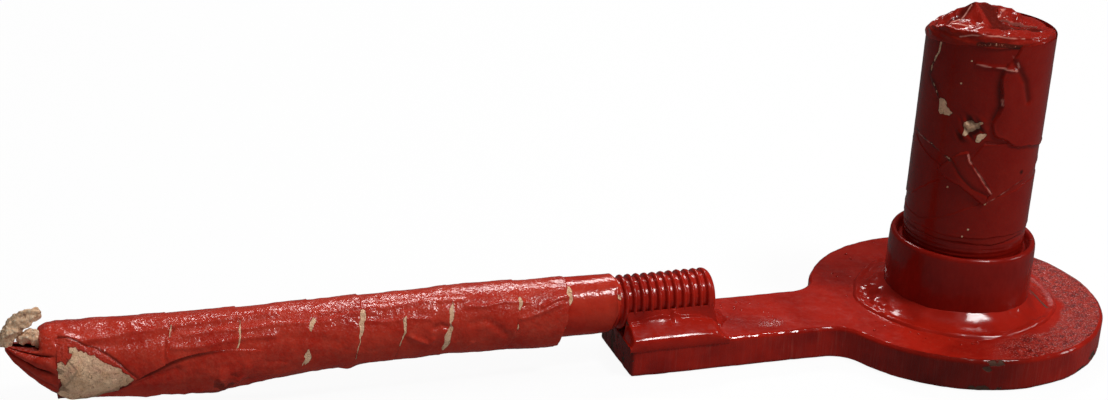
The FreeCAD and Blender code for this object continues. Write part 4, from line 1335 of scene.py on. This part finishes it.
def make_gather(look):
    """The wrap's closed end: its top tucks in, and its lower lip runs in strands up to one tip."""
    rows, columns = 80, 300
    share = share_grid(rows, columns)
    turn = turn_grid(rows, columns)
    degrees = degrees_round(turn)
    from_low = np.abs((degrees + 82 + 180) % 360 - 180)
    lower = smooth(122, 98, from_low)[..., None]
    around = np.stack([0 * turn, -np.cos(turn), np.sin(turn)], -1)
    ring = bar_points(wrap_radius(np.full(turn.shape, WRAP_CLOSE), turn) - 0.1, WRAP_CLOSE, turn)
    wave = noise(ring, 6.0, 200)[..., None]
    valley = np.array([-WRAP_CLOSE - 4.5, ROD_Y, 34.0]) + around * (3.5, 3.0, 1.2)
    middle = np.array([-WRAP_CLOSE, ROD_Y, ROD_Z])
    shoulder = ring + (ring - middle) * (-0.04) - np.array([13.5, 0, 0]) - wave * (2.0, 0, 0)
    tip = GATHER_TIP + around * (0, 2.0, 2.4)
    swell = (ring + tip) / 2 + around * 0.8 - np.array([1.0, 0, 1.0])
    t = share[..., None]

    def bend(a, b, c):
        return a * (1 - t) ** 2 + b * 2 * t * (1 - t) + c * t**2

    points = bend(ring, shoulder, valley) * (1 - lower) + bend(ring, swell, tip) * lower
    phase = (degrees + 8 + 9 * share + 5 * noise(ring, 9.0, 201)) / 31.0
    strand = np.abs(np.sin(math.pi * phase)) ** 0.6
    hold = smooth(0.0, 0.25, share) * smooth(1.05, 0.8, share)
    loose = smooth(0, 0.1, share)
    push = (2.9 * strand - 1.8) * hold * lower[..., 0] + 0.45 * facets(points, 5.0, 203) * loose
    push = push + 0.25 * noise(points, 2.4, 204) * loose
    points = points + around * push[..., None]
    # Painted shade in the grooves between strands and deep in the tucked top.
    crease = smooth(0.6, 0.2, strand) * hold * lower[..., 0]
    painted_shade = smooth(0.55, 0.9, share) * (1 - lower[..., 0])
    dirt = 0.66 * (noise(points, 4.0, 205) > 0.1) * lower[..., 0]
    dirt = dirt * smooth(0.16, 0.02, share) * smooth(-100, -40, degrees)
    masks = {"bare": dirt, "fold": np.maximum(crease, 0.6 * painted_shade)}
    faces = grid_faces(rows, columns, True)
    make_piece("grip_end_gather_strands", points, faces, look, ["grip_end_gather"], masks)


def make_twist(name, route, thickness, look, seed, nodes=(), splash=None):
    """A twisted rag of paper along a route of (x, y, z) points, thicker in its middle."""
    route = np.array(route, float)
    rows, columns = 96, 64
    places = np.linspace(0, len(route) - 1, rows)
    line = np.stack([np.interp(places, np.arange(len(route)), route[:, k]) for k in range(3)], -1)
    for _ in range(12):
        line[1:-1] = (line[:-2] + 2 * line[1:-1] + line[2:]) / 4
    ahead = np.gradient(line, axis=0)
    ahead /= np.linalg.norm(ahead, axis=1)[:, None]
    side = np.cross(ahead, (0.0, 1.0, 0.15))
    side /= np.linalg.norm(side, axis=1)[:, None]
    up = np.cross(side, ahead)
    share = share_grid(rows, columns)
    turn = turn_grid(rows, columns) + TWIST * share
    radius = thickness / 2 * (0.55 + 0.5 * np.sin(math.pi * np.clip(share * 0.9 + 0.12, 0, 1)))
    radius = radius * (1 + 0.18 * np.cos(3 * turn) + 0.12 * np.cos(5 * turn + 1.0))
    radius = radius * smooth(-0.02, 0.05, share) * (1 - 0.75 * smooth(0.97, 1.0, share))
    flat_turn = turn - TWIST * share
    out = side[:, None] * np.cos(flat_turn)[..., None] + up[:, None] * np.sin(flat_turn)[..., None] * 0.8
    points = line[:, None] + out * radius[..., None]
    rag = 0.75 * facets(points, 3.6, seed) + 0.55 * noise(points, 1.7, seed + 1)
    rag = rag + 0.35 * noise(points, 0.8, seed + 2)
    points = points + out * (rag * smooth(0, 0.08, share))[..., None]
    mark = np.zeros(share.shape)
    if splash is not None:
        mark = 1 - smooth(1.5, 3.0, np.linalg.norm(points - np.array(splash), axis=-1))
    make_piece(name, points, grid_faces(rows, columns, True), look, nodes, {"splash": mark})


def make_tail(look):
    """The twisted end of the tape, which stands up from the tip, and a torn scrap beside it."""
    y = ROD_Y - 2.9
    route = [(-469.2, y, 37.5), (-469.0, y, 40.0), (-468.0, y, 43.0), (-466.0, y, 45.8), (-463.0, y, 48.4)]
    route += [(-459.6, y, 50.8), (-456.2, y, 52.4), (-453.0, y, 53.2)]
    make_twist("grip_tail_rag", route, 7.4, look, 211, ["grip_tail_twist"], (-461.5, y - 3.0, 52.5))
    scrap = [(-463.5, y, 39.0), (-461.0, y, 41.5), (-457.6, y, 42.0), (-455.2, y, 38.5), (-454.5, y, 36.0)]
    make_twist("grip_tail_scrap", scrap, 5.0, look, 221)


# ---- tape on the stub ---------------------------------------------------------------------


def stem_arc(degrees):
    """Distance round the stub from the side that faces the photo's camera."""
    return math.radians(degrees) * STEM_MEAN


def stem_line(*stations):
    """A line on the stub from (degrees from the facing side, height) stations."""
    return [(stem_arc(a), z) for a, z in stations]


# The seams, outlines and folds of the stub's sheets. Every angle is in degrees from the facing side,
# and grows to the right.
BAND_SEAM = stem_line(
    (-180, 84), (-120, 92), (-66, 106), (-42, 104), (-30, 102), (-14, 99), (-5, 103), (8, 112), (30, 111),
    (50, 108), (76, 105), (110, 106), (140, 100), (180, 84),
)
DIAGONAL = stem_line((-70, 107), (-42, 104.5), (-30, 102), (-20, 99.5))
ARROW = stem_line(
    (-32, 92.8), (-25, 97), (-20, 101), (-13, 104.2), (-5, 105.6), (-3, 101.3), (20.4, 85), (17, 83.6),
    (14.4, 79), (-9, 87.7), (-24, 90.2),
)
ARROW_FOLD = stem_line((-20, 101), (-10, 93.2), (2, 87.5), (17, 84.1))
RIGHT_SHEET = stem_line(
    (-3, 101.3), (20.4, 85.2), (15.3, 79.5), (32.5, 85), (44.6, 88.7), (62, 92.3), (80, 95), (120, 99),
    (120, 112), (40, 112), (8, 110),
)
LEFT_STRIP = stem_line(
    (-90, 70), (-64, 74.1), (-49, 80.4), (-32, 87.2), (-24, 90.2), (-32, 96), (-70, 104), (-110, 95),
)
FLAP = stem_line(
    (16, 148), (15.6, 142), (19.7, 130.4), (15, 124.3), (12.6, 120.6), (15.3, 115.1), (28, 112.3),
    (34.3, 109.8), (43, 108.6), (51.3, 108.4), (76, 105.4), (130, 106), (165, 112), (165, 163), (32, 163),
    (25, 155),
)
TUCK = stem_line((-8, 150), (3.5, 149.4), (14.8, 149.3), (28, 148.1))
RIGHT_CREASE = stem_line((23.5, 152.9), (30.4, 148), (38.4, 141.8), (44.2, 132.4))
SMILE = stem_line(
    (-180, 74), (-100, 66), (-45, 64.9), (-24, 69), (-13, 72.3), (0, 76.5), (8, 78.1), (18, 82), (60, 88),
    (120, 90), (180, 74),
)

# The spots where paint has come off: torn patches, a crack beside them and small specks.
PATCHES = (
    stem_line((-40.5, 127.4), (-37, 129.4), (-31, 127.2), (-24, 123.4), (-27, 121.2), (-37.5, 121.0)),
    stem_line(
        (-12, 120.5), (-7.3, 122), (3.3, 121.3), (2.2, 117.9), (-3, 115.2), (-9.3, 113.9), (-13, 113.1),
        (-12, 116.6),
    ),
    stem_line((3, 115.3), (7.7, 115), (6, 113.6), (0.7, 112)),
)
LEFT_CRACK = stem_line(
    (-54, 161), (-47, 156.8), (-48, 151.2), (-56, 142), (-56, 137.3), (-47, 133), (-41, 129),
)
SPECKS = stem_line((-20, 85.5), (4, 65.5), (-0.5, 61.5), (16, 79.5), (-20, 139), (-13, 151))

# The sheets' folded edges on the stub that carry a thin painted highlight line.
HIGHLIGHT_EDGES = (
    stem_line((-5, 104.5), (-3, 101.3), (8, 94), (20.4, 85)),
    stem_line((15.3, 79.5), (32.5, 85), (44.6, 88.7), (56, 91)),
    stem_line((-8, 150), (3.5, 149.4), (14.8, 149.3), (28, 148.1)),
    stem_line((22, 155.5), (27, 152.5), (31, 148)),
    stem_line((18.5, 131), (17, 136)),
    stem_line((-66, 106), (-42, 104.5), (-20, 99.5)),
)
# The gap between the two sheets is painted with shade.
HOLE = (50, 94.8)  # degrees from the facing side, and height, of a dark gap between two sheets


def stem_facing(turn):
    """Angles round the stub as degrees from the facing side, from -180 to 180."""
    return np.degrees((turn - math.radians(FACING) + math.pi) % (2 * math.pi) - math.pi)


def facing_arc(turn):
    """Distance round the stub from the facing side, for each angle round it."""
    return stem_arc(1.0) * stem_facing(turn)


def stem_skin(height, turn):
    """Points on a plain round about the stub, for noise to be read at."""
    return ring_points(STEM_MEAN, height, turn)


def rim_height(turn):
    """The height at which the stub's tape folds over: high in front, low behind."""
    return 156.4 + 3.6 * np.cos(turn - math.radians(-92)) - 1.2 * bell((stem_facing(turn) + 62) / 22)


def sheet_edge(off, thickness):
    """A sheet's height from the distance to its edge: a thin bead on the edge, and a dip outside."""
    bead = 0.35 * bell((off + 0.5) / 0.4) * min(thickness, 0.6)
    return thickness * smooth(0.35, -0.35, off) + bead - 0.7 * smooth(0.1, 1.2, off)


def torn_facets(arc, height):
    """Facets drawn out along the slant of the torn paper."""
    slanted = np.stack([arc + 1.2 * height, 0.35 * (height - 1.2 * arc), 0 * arc], -1)
    return facets(slanted, 2.6, 303)


def stem_surface(turn, height):
    """The stub's first layer of tape, with all that presses through it."""
    skin = stem_skin(height, turn)
    arc = facing_arc(turn)
    radius = TAPE_RADIUS - 0.18 + 0.07 * noise(skin, 17.0, 300) + 0.05 * facets(skin, 7.0, 301)
    radius += 0.03 * noise(skin, 2.2, 302)
    radius += 0.55 * bell(line_distance(arc, height, TUCK) / 0.9)
    torn = bell(region_distance(arc, height, PATCHES[1]) / 3.2)
    left = bell(line_distance(arc, height, LEFT_CRACK) / 3.0)
    return radius + (0.75 * torn + 0.25 * left) * torn_facets(arc, height)


def edge_highlights(arc, height, skin):
    """How strongly a thin painted highlight line lies on the folded edges of the stub's sheets."""
    wear = highest(*[smooth(0.5, 0.15, line_distance(arc, height, line)) for line in HIGHLIGHT_EDGES])
    return 0.75 * wear * smooth(-0.5, 0.3, noise(skin, 2.6, 341))


def stem_layer(name, off_of, thickness, look, nodes, low, high, masks, under=None):
    """A sheet on the stub. off_of gives the distance outside its edge, and under the height below it."""
    rows, columns = int((high - low) / 0.5), 420
    height = np.repeat(np.linspace(low, high, rows)[:, None], columns, 1)
    turn = turn_grid(rows, columns)
    arc = facing_arc(turn)
    skin = stem_skin(height, turn)
    off = off_of(arc, height, turn) + 0.25 * noise(skin, 2.0, 311) + 0.35 * noise(skin, 6.0, 312)
    lift = sheet_edge(off, thickness)
    base = stem_surface(turn, height)
    if under is not None:
        base = base + under(arc, height)
    points = ring_points(base + lift, height, turn)
    faces = grid_faces(rows, columns, True)
    kept = (off.ravel()[faces] < 0.9).any(1)
    # Painted shade along each sheet's edge and in the gap between two sheets.
    shade = 0.45 * smooth(-0.1, 0.3, off) * smooth(-0.5, 0.4, noise(skin, 9.0, 313))
    gap = smooth(1.6, 0.6, np.hypot(arc - stem_arc(HOLE[0]), height - HOLE[1]))
    # Painted highlight lines on folded edges.
    painted_light_and_wear = edge_highlights(arc, height, skin)
    drawn = {"bare": np.zeros(off.shape), "fold": np.maximum(shade, gap), "painted_light_and_wear": painted_light_and_wear}
    for mask, field in masks.items():
        drawn[mask] = np.maximum(drawn[mask], field(arc, height, turn))
    make_piece(name, points, faces[kept], look, nodes, drawn)


def patches(arc, height, turn):
    """The spots on the stub where the paint has come away from the paper."""
    skin = stem_skin(height, turn)
    ragged = 1.2 * noise(skin, 3.0, 331) + 0.7 * noise(skin, 1.3, 332)
    torn = [0.90 * smooth(0.9, -1.3, region_distance(arc, height, patch) + ragged) for patch in PATCHES]
    specks = [smooth(0.75, 0.25, np.hypot(arc - u, height - v)) for u, v in SPECKS]
    streak = np.clip(0.62 + 0.6 * noise(skin, 3.0, 333), 0, 1)
    crack = 0.58 * smooth(1.5, 0.2, line_distance(arc, height, LEFT_CRACK)) * streak
    seam = 0.55 * smooth(1.6, 0.2, line_distance(arc, height, DIAGONAL)) * streak
    return highest(*torn, *specks, crack, seam, smeared(arc, height))


def smeared(arc, height):
    """The brown smear under the cap's front lip."""
    off = line_distance(arc, height, stem_line((-9, 159.9), (2, 160.5), (14, 160.6), (28, 159.6)))
    return 0.40 * smooth(2.3, 0.5, off)


def torn_shadows(arc, height, turn):
    """Painted shade in the slits round the largest torn patch, and a painted shadow beside the side flap."""
    skin = stem_skin(height, turn)
    near = bell(region_distance(arc, height, PATCHES[1]) / 3.0)
    left = 0.6 * bell(line_distance(arc, height, LEFT_CRACK) / 2.6) * smooth(-0.2, 0.5, noise(skin, 3.0, 334))
    beside = 0.85 * bell(region_distance(arc, height, FLAP) / 2.6)
    beside *= smooth(118, 124, height) * smooth(150, 146, height)
    slits = near * smooth(0.1, -0.35, torn_facets(arc, height))
    return highest(slits, left, beside, smeared(arc, height))


def make_stem_tape(look):
    """The stub's sheets of tape, from the first layer outwards."""
    low = span("stem_tape_base")[0][2]
    # Torn patches of bare paper, and the painted shade round them and beside the flap.
    painted_light_and_wear = {"bare": patches, "fold": torn_shadows}

    def foot(arc, height, turn):
        skin = stem_skin(0.0, turn)
        dip = 2.2 * smooth(10, 60, stem_facing(turn)) * smooth(150, 90, stem_facing(turn))
        return low + 0.9 + 1.0 * noise(skin, 15.0, 321) + dip - height

    stem_layer("stem_tape_base_layer", foot, 0.0, look, ["stem_tape_base"], low - 0.5, 151.0, painted_light_and_wear)

    def low_band(arc, height, turn):
        skin = stem_skin(0.0, turn)
        rise = 1.6 * smooth(0, 60, stem_facing(turn)) * smooth(150, 90, stem_facing(turn))
        edge = 60.5 + 0.8 * noise(skin, 12.0, 322) + rise
        return np.maximum(edge - height, height - np.interp(arc, *zip(*SMILE)))

    lower = ["stem_tape_lower_band"]
    stem_layer("stem_tape_lower_band_layer", low_band, 0.25, look, lower, low, 94.0, {"bare": patches})

    def upper_band(arc, height, turn):
        return np.interp(arc, *zip(*BAND_SEAM)) - height

    def upper_sheet(arc, height, turn):
        return np.maximum(upper_band(arc, height, turn), height - rim_height(turn))

    upper = ["stem_tape_upper_band"]
    stem_layer("stem_tape_upper_band_layer", upper_sheet, 0.24, look, upper, 80.0, 161.0, painted_light_and_wear)

    def upper_lift(arc, height):
        return 0.24 * smooth(0.45, -0.45, np.interp(arc, *zip(*BAND_SEAM)) - height)

    def inside(outline):
        return lambda arc, height, turn: region_distance(arc, height, outline)

    bare = {"bare": patches}
    node, edge = "stem_tape_strip_left", inside(LEFT_STRIP)
    stem_layer(f"{node}_layer", edge, 0.30, look, [node], 66.0, 110.0, bare, upper_lift)
    node, edge = "stem_tape_strip_right", inside(RIGHT_SHEET)
    stem_layer(f"{node}_layer", edge, 0.40, look, [node], 76.0, 114.0, {}, upper_lift)

    def arrow_lift(arc, height):
        spread = smooth(0.45, -0.45, region_distance(arc, height, RIGHT_SHEET))
        fold = line_distance(arc, height, ARROW_FOLD)
        return upper_lift(arc, height) + 0.3 * spread - 0.4 * bell(fold / 1.0)

    # Painted shade along the arrow's fold.
    def arrow_crease(arc, height, turn):
        return 0.6 * smooth(0.7, 0.1, line_distance(arc, height, ARROW_FOLD))

    arrow = {"fold": arrow_crease, "bare": patches}
    stem_layer("stem_tape_arrow_fold", inside(ARROW), 0.85, look, (), 76.0, 108.0, arrow, arrow_lift)

    def flap_lift(arc, height):
        crease = line_distance(arc, height, RIGHT_CREASE)
        swell = 0.9 * bell((arc - stem_arc(20)) / 4.5, (height - 136) / 16)
        return upper_lift(arc, height) + 0.2 + swell - 0.8 * bell(crease / 1.7)

    # Painted shade along the flap's crease.
    def flap_crease(arc, height, turn):
        return 0.6 * smooth(2.2, 0.2, line_distance(arc, height, RIGHT_CREASE))

    flap = ["stem_tape_side_flap"]
    crease = {"fold": flap_crease}
    stem_layer("stem_tape_side_flap_layer", inside(FLAP), 0.75, look, flap, 102.0, 160.0, crease, flap_lift)


# ---- cap over the stub's mouth ------------------------------------------------------------

# The crumpled cap: the height of its shoulder all round, as (plan angle, height), and the corners of
# the folds inside it, as (x, y, height).
CAP_SHOULDER = (
    (-180, 161.0), (-165, 163.2), (-150, 164.5), (-137, 165.2), (-120, 165.4), (-105, 164.8), (-90, 164.3),
    (-70, 163.4), (-50, 162.3), (-25, 160.6), (0, 158.8), (25, 157.0), (50, 156.0), (75, 155.0), (105, 154.6),
    (135, 155.4), (158, 158.0), (180, 161.0),
)

CAP_FOLDS = (
    (-28.0, -8.0, 165.2), (-20.0, -14.5, 166.3), (-11.6, -13.5, 166.3), (-11.5, -0.5, 173.4),
    (-8.0, -14.0, 163.9), (-1.3, -9.0, 163.8), (1.0, -3.0, 168.6), (-8.0, 1.0, 172.6), (-3.0, 2.0, 171.8),
    (5.0, 3.0, 168.9), (11.8, 4.0, 167.3), (17.4, 4.0, 164.2), (26.0, 4.0, 161.2), (-17.4, 1.5, 170.0),
    (-22.4, 2.5, 167.4), (-28.0, 3.0, 163.6), (-21.5, -1.6, 166.0), (-1.0, -14.0, 162.9), (7.0, -14.0, 161.6),
    (15.0, -13.5, 160.2), (22.0, -9.0, 160.6), (8.0, -8.0, 162.2), (-16.0, -20.0, 166.4),
    (-6.0, -22.5, 165.0), (5.0, -22.0, 163.6), (16.0, -19.0, 162.2), (-10.0, 14.0, 165.6), (5.0, 16.0, 161.6),
    (18.0, 14.0, 158.4), (-22.0, 12.0, 160.6), (-2.0, 24.0, 157.0), (-12.0, 7.0, 168.0), (10.0, 9.0, 162.6),
)

# The folds that carry a thin painted highlight line, as (x, y) on the cap seen from above.
CAP_HIGHLIGHTS = (
    ((-28.0, -8.0), (-21.5, -5.0), (-13.0, -1.0)),
    ((-26.5, -9.0), (-20.0, -14.5), (-11.6, -13.5)),
)

# The corner of tape folded down to the right of the peak: its upper and lower edge.
CAP_FLAP_TOP = (
    (-0.4, -2.6, 169.8), (4.5, -2.6, 169.4), (8.5, -2.4, 168.2), (13.0, -3.4, 165.9), (20.5, -6.5, 162.2),
)
CAP_FLAP_FOOT = (
    (-1.2, -7.4, 165.4), (4.0, -8.4, 164.6), (9.5, -9.2, 163.6), (14.0, -9.8, 162.8), (19.5, -10.2, 161.4),
)


def cap_surface(x, y):
    """The crumpled cap's height over the mouth, inside its shoulder."""
    rim = 30.2
    shoulder = [
        (rim * math.cos(a), rim * math.sin(a), float(np.interp(math.degrees(a), *zip(*CAP_SHOULDER))))
        for a in np.radians(np.arange(-180, 180, 12))
    ]
    flat = np.stack([x, y, 0 * x], -1)
    shifted_x, shifted_y = x + 0.5 * noise(flat, 4.0, 411), y + 0.5 * noise(flat, 4.0, 412)
    hold = smooth(rim + 0.2, rim - 2.7, np.hypot(x, y))
    crumple = 0.65 * facets(flat, 5.0, 402) + 0.30 * facets(flat, 2.6, 404) + 0.06 * noise(flat, 1.4, 403)
    left = smooth(-12, -20, x) * smooth(-6, -1, y)
    pleats = 0.9 * facets(flat * (0.3, 1.5, 1.0), 4.2, 413) * smooth(-11.5, -14.5, y)
    crumple = crumple * (1 + 1.2 * left) + pleats
    return faceted(shifted_x, shifted_y, shoulder + list(CAP_FOLDS)) + hold * crumple


def make_cap(look):
    """The tape folded in over the mouth and crumpled: a rounded skirt, then the listed folds."""
    columns, skirt_rows, inner_rows = 420, 26, 96
    turn = turn_grid(skirt_rows + inner_rows, columns)
    inner = np.linspace(0, 1, inner_rows + 1)[1:, None]
    edge, shoulder = TAPE_RADIUS + 0.45, 29.4
    quarter = np.linspace(0, math.pi / 2, skirt_rows)[:, None]
    radius = np.concatenate([shoulder + (edge - shoulder) * np.cos(quarter), shoulder * (1 - inner)])
    radius = np.repeat(radius, columns, 1)
    height = cap_surface(radius * np.cos(turn), radius * np.sin(turn))
    foot = rim_height(turn[0]) - 1.0 + 0.7 * noise(stem_skin(0.0, turn[0]), 7.0, 405)
    top = height[skirt_rows]
    height[:skirt_rows] = foot + (top - foot) * np.sin(quarter)
    skin = ring_points(radius, height, turn)
    climb = np.concatenate([quarter / (math.pi / 2), 0 * inner])
    wrinkle = facets(skin * (0.30, 0.30, 1.3), 2.8, 406) + 0.5 * noise(skin * (0.4, 0.4, 1.4), 1.6, 407)
    radius = radius + 0.55 * wrinkle * smooth(0.0, 0.2, climb) * smooth(1.0, 0.7, climb)
    height = height + 0.6 * wrinkle * smooth(0.4, 0.8, climb) * smooth(1.05, 0.85, climb)
    radius[0] -= 0.9
    points = ring_points(radius, np.minimum(height, CAP_PEAK + 0.8), turn)
    faces = grid_faces(*radius.shape, True)
    x, y = points[..., 0], points[..., 1]
    # Painted shade in the slot under the loose corner, behind the front fold and on the facet right of the
    # peak.
    slot = region_distance(x, y, [(-10, -14), (-1.5, -7.5), (8, -9), (22, -10), (20, -14), (4, -16)])
    behind = line_distance(x, y, [(-27, -6.5), (-20, -3), (-13, -0.4)])
    right = region_distance(x, y, [(-10.5, -1.5), (-7.5, -13.5), (3, -12), (0, -3), (5, 2), (-7, 1)])
    behind = smooth(3.6, 0.6, behind) * (y > -7 - 0.4 * (x + 20))
    dark = highest(0.85 * smooth(1.0, -1.5, slot), 0.85 * behind, 0.80 * smooth(0.8, -1.5, right))
    bare = smeared(facing_arc(turn), height) * (climb < 0.5) * (climb > 0)
    on_top = np.arange(len(radius))[:, None] >= skirt_rows
    # Painted highlight lines on the top's folds and along the skirt.
    painted_light_and_wear = highest(*[smooth(0.45, 0.15, line_distance(x, y, line)) for line in CAP_HIGHLIGHTS]) * on_top
    skirt = stem_line((-27, 161.5), (-16.5, 163.5), (-10, 164), (7, 164.6), (18, 164), (32, 163.6))
    skirt_line = smooth(0.45, 0.15, line_distance(facing_arc(turn), height, skirt))
    painted_light_and_wear = 0.85 * np.maximum(painted_light_and_wear, skirt_line * ~on_top) * smooth(-0.6, 0.3, noise(skin, 2.4, 408))
    masks = {"bare": bare, "fold": dark, "painted_light_and_wear": painted_light_and_wear}
    make_piece("stem_tape_cap_crumple", points, faces, look, ["stem_tape_cap"], masks)


def make_cap_flap(look):
    """The loose corner of tape beside the peak, folded down over a slot painted with shade."""
    rows, columns = 26, 80
    across = np.linspace(0, 1, columns)
    places = np.linspace(0, 1, len(CAP_FLAP_TOP))
    top, foot = (
        np.stack([np.interp(across, places, [corner[k] for corner in line]) for k in range(3)], -1)
        for line in (CAP_FLAP_TOP, CAP_FLAP_FOOT)
    )
    down = np.linspace(0, 1, rows)[:, None, None]
    points = top[None] + (foot - top)[None] * down
    curl = highest(smooth(0.92, 1.0, down[..., 0]), smooth(0.03, 0.0, across), smooth(0.97, 1.0, across))
    crumple = 1.3 * facets(points, 3.4, 421) + 0.45 * facets(points, 1.7, 422)
    crumple = crumple + 0.5 * np.sin(math.pi * down[..., 0])
    points[..., 2] += crumple * 0.8 - 1.3 * curl
    points[..., 1] += 1.0 * curl - 0.3 * crumple
    points[..., 0] += 0.7 * noise(points, 3.0, 423) * smooth(0.12, 0.0, across)
    # Painted highlight on the corner's left part and along its lower edge.
    pale = smooth(0.45, 0.05, across) * smooth(0.0, 0.5, noise(points, 2.6, 424))
    pale = pale + smooth(0.90, 0.96, down[..., 0])
    masks = {"bare": 0 * curl, "fold": 0 * curl, "painted_light_and_wear": np.clip(0.8 * pale, 0, 0.8)}
    faces = grid_faces(rows, columns, False)[:, ::-1]
    make_piece("stem_tape_cap_flap", points, faces, look, (), masks)


# ---- the whole wrench ---------------------------------------------------------------------


def dress_hidden_steel(look):
    """Gives the socket and its weld, which the cap hides, their own steel."""
    for node in ("pentagon_socket", "socket_ring_weld"):
        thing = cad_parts[node]
        thing.data.materials.clear()
        thing.data.materials.append(look)


def make_wrench():
    """Every material and every piece."""
    plate = enamel("red_enamel_plate", dust_and_sparkle=0.28, brush=(0.25, 1.0, 1.0))
    sides = cut_enamel("red_enamel_cut_edge")
    # The collar and stub, the welds, and the stub's tape and cap use darker copies of their paint as painted
    # shade.
    collar_paint = enamel("red_enamel_collar", dust_and_sparkle=0.05, brush=(1.0, 1.0, 0.3), relief=0.7, painted_shade=0.65)
    smooth_paint = enamel("red_enamel_smooth", dust_and_sparkle=0.10, brush=(1.0, 1.0, 0.3), relief=0.7)
    weld_paint = enamel("red_enamel_weld", dust_and_sparkle=0.10, relief=0.7, painted_shade=0.05, gloss=0.02)
    grip = painted_tape("red_tape_grip", dust_and_sparkle=0.50, grain=0.55, gloss=0.06)
    first_layer = painted_tape("red_tape_first_layer", dust_and_sparkle=0.10, grain=0.25, gloss=0.10)
    stem = painted_tape("red_tape_stem", dust_and_sparkle=0.04, grain=0.20, painted_shade=0.76, gloss=0.08)
    cap = painted_tape("red_tape_cap", dust_and_sparkle=0.10, grain=0.25, painted_shade=0.62, gloss=0.11)
    cream = painted_tape("cream_tape", dust_and_sparkle=0.5, grain=1.2)
    rag = bare_paper("cream_rag")
    make_plate(plate, sides)
    make_coupling(collar_paint)
    make_coupling_weld(weld_paint)
    make_pipe(collar_paint)
    make_rod(smooth_paint)
    make_side_weld("handle_front_weld_pool", "handle_front_weld", 1, 1.0, weld_paint, 500)
    make_side_weld("handle_rear_weld_pool", "handle_rear_weld", -1, 0.43, weld_paint, 520)
    make_end_weld(weld_paint)
    make_spatter(weld_paint)
    make_grip_base(first_layer)
    for n in range(len(SEAMS)):
        make_grip_turn(n, grip)
    make_grip_fold(grip)
    make_bare_flap(cream)
    make_gather(grip)
    make_tail(rag)
    make_stem_tape(stem)
    make_cap(cap)
    make_cap_flap(cap)
    dress_hidden_steel(bare_steel("dull_steel"))


make_studio()
make_wrench()
